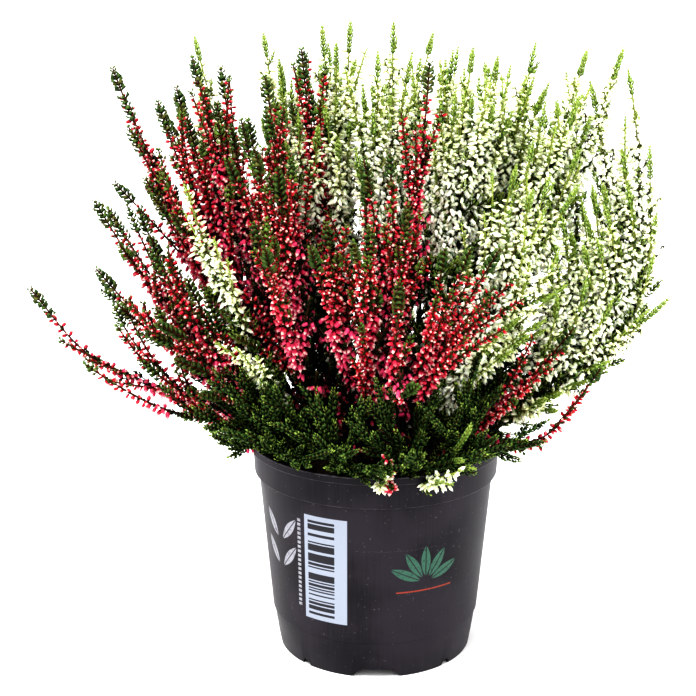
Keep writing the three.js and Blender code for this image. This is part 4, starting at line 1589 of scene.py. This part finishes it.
class HeatherGrowth(GrowthTree):
    """Grows twigs, buds and scale leaves on a skeleton of stems.

    A pair of values is what something is near a tip and what it becomes further down.
    """

    twig_size: Pair = (0.45, 1.0)
    twig_reach: Pair = (5.0, 60.0)
    bud_lean: Pair = (0.95, 1.75)
    bud_sag: Pair = (-0.6, -1.5)
    bud_size: Pair = (0.68, 0.94)
    bud_width: Pair = (0.82, 1.0)
    leaf_size: Pair = (0.52, 1.0)
    leaf_reach: float = 6.0

    def __init__(self, sizes: Iterable[str]) -> None:
        """Build the tree.

        Args:
            sizes: The names of the sizes that it is given.
        """
        super().__init__("heather_growth")
        for name in sizes:
            self.named_input(name)
        for name in ("Bud", "Leaf Pair"):
            self.named_input(name, "NodeSocketObject")
        for name in ("Bud Finish", "Leaf Finish", "Bark Finish"):
            self.named_input(name, "NodeSocketMaterial")

        stems = self.add("GeometryNodeMeshToCurve", {0: self.given("Geometry")}).outputs[0]
        twigs = self._twigs(stems)
        shoots = self.join(stems, twigs)
        wood = self.join(self._wood(stems, sides=4), self._wood(twigs, sides=3))
        grown = self.join(wood, self._buds(shoots), self._leaves(shoots))
        smooth = self.add("GeometryNodeSetShadeSmooth", {"Geometry": grown, "Shade Smooth": True})
        self.feed(self.exit, 0, smooth.outputs[0])

    def _places(self, curve: Feed, spacing: str, likelihood: Trait, seed: int) -> tuple[Socket, Socket]:
        """Find places along a curve for something to grow.

        Args:
            curve: The stems or shoots.
            spacing: The name of the input that says how far apart places may be.
            likelihood: The trait that says how likely it is that one is kept.
            seed: What fixes which ones are.

        Returns:
            The places as points, and the rotation of the stem at each, with Z along it.
        """
        feeds = {"Curve": curve, "Length": self.given(spacing)}
        spaced = self.add("GeometryNodeResampleCurve", feeds, mode="LENGTH").outputs[0]
        places = self.add("GeometryNodeCurveToPoints", {"Curve": spaced}, mode="EVALUATED").outputs
        drawn = self.math("LESS_THAN", self.read(likelihood), self.chance(0.001, 1.0, seed))
        feeds = {"Geometry": places["Points"], "Selection": drawn}
        return self.add("GeometryNodeDeleteGeometry", feeds).outputs[0], places["Rotation"]

    def _turned(self, rotation: Feed, lean: Feed, turn: Feed) -> Socket:
        """Return a rotation that points away from a stem.

        Args:
            rotation: The stem's own, with Z along it.
            lean: The angle away from the stem.
            turn: The angle round it.

        Returns:
            The rotation, with Z pointing out and X away from the stem.
        """
        angles = self.add("FunctionNodeEulerToRotation", {0: self.vector(0.0, lean, turn)}).outputs[0]
        feeds = {"Rotation": rotation, "Rotate By": angles}
        return self.add("FunctionNodeRotateRotation", feeds, rotation_space="LOCAL").outputs[0]

    def _spiral(self, step: float, seed: int, wander: float) -> Socket:
        """Return an angle round the stem that goes a step further at each point, and wanders."""
        index = self.add("GeometryNodeInputIndex").outputs[0]
        steady = self.math("MULTIPLY_ADD", index, step, self.read(Trait.TURN))
        return self.math("ADD", steady, self.chance(-wander, wander, seed))

    def _planted(self, points: Feed, pattern: Feed, rotation: Feed, scale: Feed, finish: Feed) -> Socket:
        """Return a pattern put on points, made real and given its finish."""
        shape = self.add("GeometryNodeObjectInfo", {"Object": pattern}).outputs["Geometry"]
        return self.dress(self.scatter(points, shape, rotation, scale), finish)

    def _twigs(self, stems: Feed) -> Socket:
        """Return short side twigs as curves, some leafy and the others in bud."""
        points, along = self._places(stems, "Twig Spacing", Trait.TWIG, seed=1)
        leafy = self.math("MAXIMUM", self.read(Trait.LEAF), self.given("Twig Leafy Share"))
        is_leafy = self.math("GREATER_THAN", leafy, self.chance(0.0, 0.999, seed=2))
        points = self.store(points, Trait.LEAF, is_leafy)
        lean = self.chance(self.given("Least Twig Lean"), self.given("Most Twig Lean"), seed=3)
        rotation = self._turned(along, lean, self._spiral(GOLDEN_TURN, seed=4, wander=0.5))
        start, end = self.twig_reach
        reach = self.remap(self.read(Trait.FROM_TIP), start * MM, end * MM, *self.twig_size)
        size = self.times(self.times(self.given("Twig Length"), reach), self.chance(0.6, 1.15, seed=5))
        bent = {"Resolution": 2, "Start": (0, 0, 0), "Middle": (0, 0, 0.5), "End": (-0.28, 0, 0.96)}
        sprig = self.add("GeometryNodeCurveQuadraticBezier", bent).outputs[0]
        twigs = self.scatter(points, sprig, rotation, self.vector(size, size, size))
        span = self.add("GeometryNodeSplineLength").outputs["Length"]
        gone = self.add("GeometryNodeSplineParameter").outputs["Length"]
        twigs = self.store(twigs, Trait.FROM_TIP, self.minus(span, gone))
        twigs = self.store(twigs, Trait.BLOOM, self.minus(1.0, self.read(Trait.LEAF)))
        twigs = self.store(twigs, Trait.LEAF, self.times(self.read(Trait.LEAF), self.given("Twig Cover")))
        twigs = self.store(twigs, Trait.PLUMP, self.given("Twig Plumpness"))
        return self.store(twigs, Trait.THICKNESS, self.given("Twig Thickness"))

    def _wood(self, shoots: Feed, sides: int) -> Socket:
        """Return stems or twigs as tapered tubes with some sides."""
        ring = self.add("GeometryNodeCurvePrimitiveCircle", {"Resolution": sides, "Radius": 1.0}).outputs[0]
        feeds = {"Curve": shoots, "Profile Curve": ring, "Fill Caps": True}
        feeds["Scale"] = self.read(Trait.THICKNESS)
        tubes = self.add("GeometryNodeCurveToMesh", feeds).outputs[0]
        return self.dress(tubes, self.given("Bark Finish"))

    def _buds(self, shoots: Feed) -> Socket:
        """Return buds that stand out near the tips and nod further down."""
        points, along = self._places(shoots, "Bud Spacing", Trait.BLOOM, seed=11)
        points = self.store(points, Trait.TINT, self.chance(0.0, 1.0, seed=12))
        age = self.read(Trait.AGE)
        lean = self.math("ADD", self.remap(age, 0.0, 1.0, *self.bud_lean), self.chance(-0.35, 0.35, seed=13))
        outward = self._turned(along, lean, self._spiral(GOLDEN_TURN, seed=14, wander=0.4))
        ahead = self.add("FunctionNodeRotateVector", {"Vector": (0, 0, 1), "Rotation": outward}).outputs[0]
        sag = self.times(self.given("Bud Droop"), self.remap(age, 0.0, 0.6, *self.bud_sag))
        fall = self.vector(0.0, 0.0, sag)
        hung = self.add("ShaderNodeVectorMath", {0: ahead, 1: fall}, operation="ADD").outputs[0]
        rotation = self.add("FunctionNodeAlignRotationToVector", {"Vector": hung}, axis="Z").outputs[0]
        grown = self.times(self.remap(age, 0.0, 0.6, *self.bud_size), self.chance(0.84, 1.16, seed=15))
        size = self.times(self.given("Bud Size"), grown)
        wide = self.times(size, self.remap(age, 0.0, 0.3, *self.bud_width))
        scale = self.vector(wide, wide, size)
        return self._planted(points, self.given("Bud"), rotation, scale, self.given("Bud Finish"))

    def _leaves(self, shoots: Feed) -> Socket:
        """Return pairs of scale leaves, each pair a quarter turn on from the last."""
        points, along = self._places(shoots, "Leaf Spacing", Trait.LEAF, seed=21)
        points = self.store(points, Trait.TINT, self.chance(0.0, 1.0, seed=22))
        from_tip = self.read(Trait.FROM_TIP)
        new = self.remap(from_tip, 0.0, self.given("Fresh Length"), 1.0, 0.0)
        least, most = self.given("Least Freshness"), self.given("Most Freshness")
        fresh = self.times(new, self.chance(least, most, seed=24))
        young = self.times(self.read(Trait.YOUNG), self.chance(0.5, 0.95, seed=26))
        fresh = self.math("MAXIMUM", fresh, young)
        points = self.store(points, Trait.FRESH, fresh)
        rotation = self._turned(along, 0.0, self._spiral(QUARTER_TURN, seed=23, wander=0.2))
        full = self.remap(from_tip, 0.0, self.leaf_reach * MM, *self.leaf_size)
        grown = self.times(full, self.chance(0.85, 1.15, seed=25))
        size = self.times(self.given("Leaf Size"), grown)
        wide = self.times(size, self.read(Trait.PLUMP))
        scale = self.vector(wide, wide, size)
        return self._planted(points, self.given("Leaf Pair"), rotation, scale, self.given("Leaf Finish"))


RED_BUD_SHAPE = BudShape("red_bud", ((1.5, 0.98), (3.1, 0.9)), 4.3)
WHITE_BUD_SHAPE = BudShape("white_bud", ((1.4, 0.84), (3.1, 0.76)), 4.4)

RED_HABIT = Habit(
    growth=RED,
    slot="red_spray",
    piece="red_raceme",
    buds=RED_BUD_SHAPE,
    bud_finish=RED_BUDS,
    leaf_finish=RED_SHOOT_LEAVES,
    bark_finish=RED_BARK,
    flower_share=0.54,
    side_flower_share=0.82,
    riser_flower_share=0.76,
    bud_spacing=1.11,
)
WHITE_HABIT = Habit(
    growth=WHITE,
    slot="white_spray",
    piece="white_raceme",
    buds=WHITE_BUD_SHAPE,
    bud_finish=WHITE_BUDS,
    leaf_finish=WHITE_SHOOT_LEAVES,
    bark_finish=WHITE_BARK,
    bloom_full=30.0,
    green_tip=11.0,
    stem_leaf=0.07,
    tip_plump=1.15,
    aged_from=5.0,
    aged_full=60.0,
    green_wood=0.9,
    bud_spacing=1.1,
    bud_droop=0.35,
    flower_twigs=(9.0, 42.0),
    riser_flower_share=0.8,
    bud_size=1.08,
    twig_leafy=0.3,
    fresh_length=16.0,
    freshness=(0.7, 1.0),
)
SKIRT_HABIT = Habit(
    growth=Growth.LEAFY,
    slot="leafy_shoot",
    piece="leafy_skirt",
    buds=RED_BUD_SHAPE,
    bud_finish=RED_BUDS,
    leaf_finish=SKIRT_LEAVES,
    bark_finish=SKIRT_BARK,
    leafy_shaded_age=0.0,
    leafy_plump=1.15,
    leafy_cover=1.0,
    twig_cover=1.0,
    twig_spacing=5.4,
    twig_length=18.0,
    twig_leafy=1.0,
    twig_lean=(0.5, 0.85),
    twig_plump=1.35,
    leaf_size=1.05,
    fresh_length=3.4,
    freshness=(0.4, 1.0),
)


@dataclass
class Heather:
    """The plant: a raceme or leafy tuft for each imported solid, grown on that solid's stems."""

    layout: Layout = field(default_factory=Layout)
    risers: ShootRule = RISERS
    inner_shoots: ShootRule = INNER_SHOOTS
    tuft_shoots: ShootRule = TUFT_SHOOTS
    tuft_count: int = 4
    habits: tuple[Habit, ...] = (RED_HABIT, WHITE_HABIT, SKIRT_HABIT)
    sample_step: float = 5.0
    seed: int = 31

    def _stems(self, plant: Plant, draw: random.Random) -> list[Stem]:
        """Return a plant's own stems and every further shoot."""
        if plant.growth is Growth.LEAFY:
            return [*plant.stems, *self.tuft_shoots.stems(plant, self.tuft_count, draw)]
        risers = self.risers.stems(plant, plant.risers, draw)
        return [*plant.stems, *risers, *self.inner_shoots.stems(plant, plant.inner, draw)]

    def _skeleton(self, plant: Plant, habit: Habit, draw: random.Random) -> bpy.types.Mesh:
        """Return a plant's stems as lines of edges that carry the traits of each place."""
        vertices: list[Vector] = []
        edges: list[tuple[int, int]] = []
        traits: dict[Trait, list[float]] = {}
        for stem in self._stems(plant, draw):
            points = stem.line.spaced(self.sample_step)
            first = len(vertices)
            turn = draw.uniform(0, math.tau)
            for i, point in enumerate(points):
                from_tip = stem.line.length * (1 - i / (len(points) - 1))
                for trait, value in {**habit.traits(stem, from_tip), Trait.TURN: turn}.items():
                    traits.setdefault(trait, []).append(value)
                vertices.append(point * MM)
            edges += [(first + i, first + i + 1) for i in range(len(points) - 1)]
        mesh = bpy.data.meshes.new("skeleton")
        mesh.from_pydata(vertices, edges, [])
        for trait, values in traits.items():
            mesh.attributes.new(trait.value, "FLOAT", "POINT").data.foreach_set("value", values)
        return mesh

    def build(self) -> None:
        """Grow every plant and put it in its solid's place."""
        tree = HeatherGrowth(self.habits[0].inputs())
        leaf_pair = LeafPairShape().pattern()
        patterns = [leaf_pair]
        values: dict[Growth, dict[str, object]] = {}
        for habit in self.habits:
            bud = habit.buds.pattern()
            patterns.append(bud)
            values[habit.growth] = {
                **habit.inputs(),
                "Bud": bud.object,
                "Leaf Pair": leaf_pair.object,
                "Bud Finish": habit.bud_finish.material(),
                "Leaf Finish": habit.leaf_finish.material(),
                "Bark Finish": habit.bark_finish.material(),
            }
        habit_of = {habit.growth: habit for habit in self.habits}
        draw = random.Random(self.seed)
        for plant in self.layout.plants():
            habit = habit_of[plant.growth]
            skeleton = self._skeleton(plant, habit, draw)
            piece = tree.apply(skeleton, f"{habit.piece}_{plant.number}", values[plant.growth])
            keep_shown_traits(piece.data)
            place(piece, habit.slot, plant.node)
        for pattern in patterns:
            pattern.remove()


def keep_shown_traits(mesh: bpy.types.Mesh) -> None:
    """Remove the traits that no material reads from a finished mesh."""
    shown = {trait.value for trait in SHOWN_TRAITS}
    for trait in Trait:
        if trait.value not in shown and trait.value in mesh.attributes:
            mesh.attributes.remove(mesh.attributes[trait.value])


def place(piece: bpy.types.Object, slot: str, node: str | None) -> None:
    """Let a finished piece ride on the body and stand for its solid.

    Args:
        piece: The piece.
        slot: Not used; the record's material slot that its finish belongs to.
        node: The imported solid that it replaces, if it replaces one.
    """
    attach(piece, BODY)
    if node:
        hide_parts(node)
    LOG.info("%s: %d triangles", piece.name, triangles(piece.data))


def triangles(mesh: bpy.types.Mesh) -> int:
    """Return how many triangles a mesh has."""
    return sum(len(face.vertices) - 2 for face in mesh.polygons)


# ---- Pot and potting mix ---------------------------------------------------------------------


def closed(shape: bmesh.types.BMesh, name: str) -> bpy.types.Mesh:
    """Return a closed shape as a mesh with its faces pointing out. The shape is used up."""
    bmesh.ops.recalc_face_normals(shape, faces=shape.faces[:])
    mesh = bpy.data.meshes.new(name)
    shape.to_mesh(mesh)
    shape.free()
    return mesh


def spun(name: str, profile: Sequence[Pair], segments: int) -> bpy.types.Mesh:
    """Spin a closed profile round the Z axis.

    Args:
        name: The mesh's name.
        profile: Radius and height of each corner, in millimetres, from axis to axis.
        segments: How many steps a full turn has.

    Returns:
        The closed mesh, in metres, with its faces pointing out.
    """
    shape = bmesh.new()
    rings: list[list[bmesh.types.BMVert]] = []
    for radius, height in profile:
        if radius == 0:
            rings.append([shape.verts.new((0, 0, height * MM))] * segments)
            continue
        ring = []
        for k in range(segments):
            turn = k / segments * math.tau
            place = (radius * math.cos(turn) * MM, radius * math.sin(turn) * MM, height * MM)
            ring.append(shape.verts.new(place))
        rings.append(ring)
    for low, high in zip(rings, rings[1:]):
        for k in range(segments):
            corners = [low[k], low[(k + 1) % segments], high[(k + 1) % segments], high[k]]
            shape.faces.new(list(dict.fromkeys(corners)))
    return closed(shape, name)


BOX_FACES = ((0, 1, 2, 3), (7, 6, 5, 4), (0, 4, 5, 1), (1, 5, 6, 2), (2, 6, 7, 3), (3, 7, 4, 0))


@dataclass(frozen=True)
class Notch:
    """Notches cut into the pot's foot ring, in millimetres."""

    count: int
    bottom_width: float
    top_width: float
    height: float
    offset: float = 0.0


@dataclass
class NurseryPot:
    """The thin-walled pot: two steps, a plain band and a rounded lip, notched at the foot."""

    sizes: PotSizes = POT
    segments: int = 144
    notches: tuple[Notch, ...] = (Notch(4, 21, 13, 4), Notch(4, 4.4, 3.2, 2.2, math.pi / 4))
    drain_holes: int = 6
    drain_ring: float = 29.0
    drain_radius: float = 3.8
    margin: float = 3.0
    lip_steps: int = 3
    sharp_from: float = 32.0
    finish: PlasticFinish = PlasticFinish()

    def _profile(self) -> list[tuple[float, float]]:
        """Return the wall's outline, from the middle of the underside round to the inside."""
        p = self.sizes
        lip_bottom = p.height - p.lip_height
        lip = [
            (p.rim_radius - p.edge * (1 - math.sin(t)), p.height - p.edge * (1 - math.cos(t)))
            for t in (QUARTER_TURN * i / self.lip_steps for i in range(self.lip_steps, -1, -1))
        ]
        return [
            (0, 0),
            (p.pad_radius, 0),
            (p.pad_radius + p.pad_flare, p.floor_underside),
            (p.foot_radius - p.wall, p.floor_underside),
            (p.foot_radius - p.wall, 0),
            (p.foot_radius - 0.2, 0),
            (p.foot_radius, 0.3),
            (p.foot_step_radius - p.edge, p.foot_step_height),
            (p.foot_step_radius, p.foot_step_height + p.edge),
            (p.step_radius, p.step_height),
            (p.band_radius - 2 * p.edge, p.step_height + p.edge),
            (p.band_radius - p.edge, p.step_height + 2 * p.edge),
            (p.band_radius, lip_bottom),
            (p.rim_radius - 0.2, lip_bottom + 0.2),
            (p.rim_radius, lip_bottom + p.edge),
            *lip,
            (p.rim_radius - p.wall + 0.2, p.height),
            (p.rim_radius - p.wall, p.height - 0.25),
            (p.step_radius - p.wall, p.knee_height),
            (p.foot_radius - p.wall + p.wall_foot, p.floor_top),
            (p.pad_radius + p.pad_flare + p.edge, p.floor_top),
            (p.pad_radius - p.edge, p.floor_top - p.floor_underside),
            (0, p.floor_top - p.floor_underside),
        ]

    def _notch_cutter(self, notch: Notch, turn: float, into: bmesh.types.BMesh) -> None:
        """Add one notch's cutter: a trapezium driven through the foot ring.

        Args:
            notch: Which notch.
            turn: Its angle round the pot.
            into: The mesh of all cutters.
        """
        flare = (notch.bottom_width - notch.top_width) / notch.height / 2
        low = notch.bottom_width / 2 + self.margin * flare
        near = self.sizes.foot_radius - self.sizes.wall - self.margin
        far = self.sizes.foot_step_radius + self.margin
        spin = Matrix.Rotation(turn, 4, "Z")
        high, top = notch.top_width / 2, notch.height
        outline = ((-low, -self.margin), (low, -self.margin), (high, top), (-high, top))
        places = [Vector((half, out, height)) for out in (near, far) for half, height in outline]
        corners = [into.verts.new(spin @ place * MM) for place in places]
        for face in BOX_FACES:
            into.faces.new([corners[i] for i in face])

    def _cutters(self) -> bpy.types.Object:
        """Return every notch and drain hole as one object to subtract."""
        cutters = bmesh.new()
        for notch in self.notches:
            for i in range(notch.count):
                self._notch_cutter(notch, notch.offset + i / notch.count * math.tau, cutters)
        for i in range(self.drain_holes):
            turn = (i + 0.5) / self.drain_holes * math.tau
            spot = Vector((math.cos(turn), math.sin(turn), 0)) * self.drain_ring
            spot.z = self.sizes.floor_top
            bmesh.ops.create_cone(
                cutters,
                cap_ends=True,
                segments=24,
                radius1=self.drain_radius * MM,
                radius2=self.drain_radius * MM,
                depth=2 * self.margin * MM,
                matrix=Matrix.Translation(spot * MM),
            )
        return bpy.data.objects.new("pot_cutters", closed(cutters, "pot_cutters"))

    def build(self) -> None:
        """Make the pot and put it in its solid's place."""
        pot = in_scene("nursery_pot", spun("nursery_pot", self._profile(), self.segments))
        cutters = self._cutters()
        cut = pot.modifiers.new("notches", "BOOLEAN")
        cut.operation, cut.solver, cut.object = "DIFFERENCE", "EXACT", cutters
        settle(pot)
        bpy.data.objects.remove(cutters)
        pot.data.materials.clear()
        pot.data.materials.append(self.finish.material())
        pot.data.shade_smooth()
        pot.data.set_sharp_from_angle(angle=math.radians(self.sharp_from))
        place(pot, "pot_plastic", "pot")


class CrumbGrowth(GrowthTree):
    """Strews crumbs over the top of the potting mix."""

    def __init__(self) -> None:
        """Build the tree."""
        super().__init__("crumb_growth")
        density = self.named_input("Crumbs Per Square Metre")
        size = self.named_input("Crumb Size")
        finish = self.named_input("Soil Finish", "NodeSocketMaterial")
        bed = self.given("Geometry")
        normal = self.add("GeometryNodeInputNormal").outputs[0]
        position = self.add("GeometryNodeInputPosition").outputs[0]
        rise, height = (self.add("ShaderNodeSeparateXYZ", {0: way}).outputs[2] for way in (normal, position))
        is_level = self.math("GREATER_THAN", rise, 0.5)
        is_top = self.times(is_level, self.math("GREATER_THAN", height, POT.knee_height * MM))
        feeds = {"Mesh": bed, "Selection": is_top, "Density": density, "Seed": 5}
        strewn = self.add("GeometryNodeDistributePointsOnFaces", feeds).outputs[0]
        rock = self.add("GeometryNodeMeshIcoSphere", {"Radius": size, "Subdivisions": 1}).outputs[0]
        turns = {"Max": (math.tau, math.tau, math.tau), "Seed": 6}
        spin = self.add("FunctionNodeRandomValue", turns, data_type="FLOAT_VECTOR").outputs[0]
        wide, deep = self.chance(0.4, 1.6, seed=7), self.chance(0.4, 1.1, seed=8)
        tall = self.chance(0.35, 0.9, seed=9)
        crumbs = self.scatter(strewn, rock, spin, self.vector(wide, deep, tall))
        self.feed(self.exit, 0, self.dress(self.join(bed, crumbs), finish))


@dataclass
class PottingMix:
    """The peat mix that fills the pot and holds the stems' feet."""

    sizes: SoilSizes = SOIL
    segments: int = 96
    rings: int = 14
    crumbs: float = 90000.0
    crumb_size: float = 1.15
    flat_rim: float = 0.97
    sharp_from: float = 40.0
    finish: SoilFinish = SoilFinish()

    def build(self) -> None:
        """Make the mix and put it in its solid's place."""
        bottom = POT.floor_top + self.sizes.seat_gap
        gap = self.sizes.seat_gap * 1.5
        edge = POT.inner_radius(self.sizes.edge_height) - gap
        profile = [(0, bottom), (POT.inner_radius(bottom) - gap, bottom)]
        profile.append((POT.inner_radius(POT.knee_height) - gap, POT.knee_height))
        profile += [(edge * (self.rings - i) / self.rings, self.sizes.edge_height) for i in range(self.rings)]
        profile.append((0, self.sizes.edge_height))
        mesh = spun("potting_mix_bed", profile, self.segments)
        for corner in mesh.vertices:
            x, y = corner.co.x / MM, corner.co.y / MM
            if corner.co.z > POT.knee_height * MM + 1e-5 and math.hypot(x, y) < edge * self.flat_rim:
                corner.co.z = self.sizes.top(x, y) * MM
        mesh.shade_smooth()
        mesh.set_sharp_from_angle(angle=math.radians(self.sharp_from))
        values = {
            "Crumbs Per Square Metre": self.crumbs,
            "Crumb Size": self.crumb_size * MM,
            "Soil Finish": self.finish.material(),
        }
        bed = CrumbGrowth().apply(mesh, "potting_mix_bed", values)
        place(bed, "potting_mix", "growing_medium")


# ---- Studio ----------------------------------------------------------------------------------


@dataclass(frozen=True)
class SoftLight:
    """A large square lamp that faces the plant, in metres."""

    name: str
    place: Point
    size: float
    power: float


@dataclass
class Studio:
    """A plain pale floor, soft light all round, and the camera."""

    floor_size: float = 40.0
    floor_colour: Colour = (0.95, 0.95, 0.95)
    surround: float = 1.06
    aim: Point = (-0.01, 0.0, 0.15)
    lamps: tuple[SoftLight, ...] = (
        SoftLight("key_light", (-0.5, -0.8, 1.7), 0.7, 20.0),
        SoftLight("fill_light", (1.3, -1.0, 0.9), 1.0, 5.0),
    )
    camera_place: Point = (-0.0121, -0.640, 0.312)
    camera_pitch: float = 15.54
    lens: float = 80.0
    sensor: float = 36.0

    def _floor(self) -> None:
        """Lay the floor."""
        half = self.floor_size / 2
        mesh = bpy.data.meshes.new("floor")
        corners = [(-half, -half, 0), (half, -half, 0), (half, half, 0), (-half, half, 0)]
        mesh.from_pydata(corners, [], [(0, 1, 2, 3)])
        graph = FinishGraph("pale_floor", roughness=0.9)
        graph.shade("Base Color", (*self.floor_colour, 1.0))
        graph.shade("Specular IOR Level", 0.0)
        mesh.materials.append(graph.material)
        in_scene("floor", mesh)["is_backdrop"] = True

    def _surround(self) -> None:
        """Light the whole scene with an even white sky."""
        world = bpy.data.worlds.new("studio")
        world.use_nodes = True
        background = world.node_tree.nodes["Background"]
        background.inputs["Color"].default_value = (1.0, 1.0, 1.0, 1.0)
        background.inputs["Strength"].default_value = self.surround
        bpy.context.scene.world = world

    def _lamp(self, light: SoftLight) -> None:
        """Hang one soft lamp and turn it to the plant."""
        lamp = bpy.data.lights.new(light.name, "AREA")
        lamp.shape, lamp.size, lamp.energy = "SQUARE", light.size, light.power
        holder = in_scene(light.name, lamp)
        holder.location = light.place
        toward = Vector(self.aim) - Vector(light.place)
        holder.rotation_euler = toward.to_track_quat("-Z", "Y").to_euler()

    def _camera(self) -> None:
        """Set up the camera."""
        camera = bpy.data.cameras.new("camera")
        camera.lens, camera.sensor_width, camera.sensor_fit = self.lens, self.sensor, "HORIZONTAL"
        camera.clip_start, camera.clip_end = 0.01, 100.0
        holder = in_scene("camera", camera)
        holder.location = self.camera_place
        holder.rotation_euler = (math.radians(90 - self.camera_pitch), 0, 0)
        bpy.context.scene.camera = holder

    def build(self) -> None:
        """Set up the floor, the light and the camera."""
        self._floor()
        self._surround()
        for light in self.lamps:
            self._lamp(light)
        self._camera()
        view = bpy.context.scene.view_settings
        view.view_transform, view.look = "Standard", "Very High Contrast"


# ---- Assembly --------------------------------------------------------------------------------


def write_sizes() -> None:
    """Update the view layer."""
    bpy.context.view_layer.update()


def main() -> None:
    """Build the studio, the pot, the potting mix and the plant."""
    logging.basicConfig(level=logging.INFO, format="%(message)s")
    Studio().build()
    NurseryPot().build()
    PottingMix().build()
    Heather().build()
    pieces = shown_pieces()
    LOG.info("%d pieces, %d triangles", len(pieces), sum(triangles(piece.data) for piece in pieces))
    write_sizes()


if __name__ == "__main__":
    main()
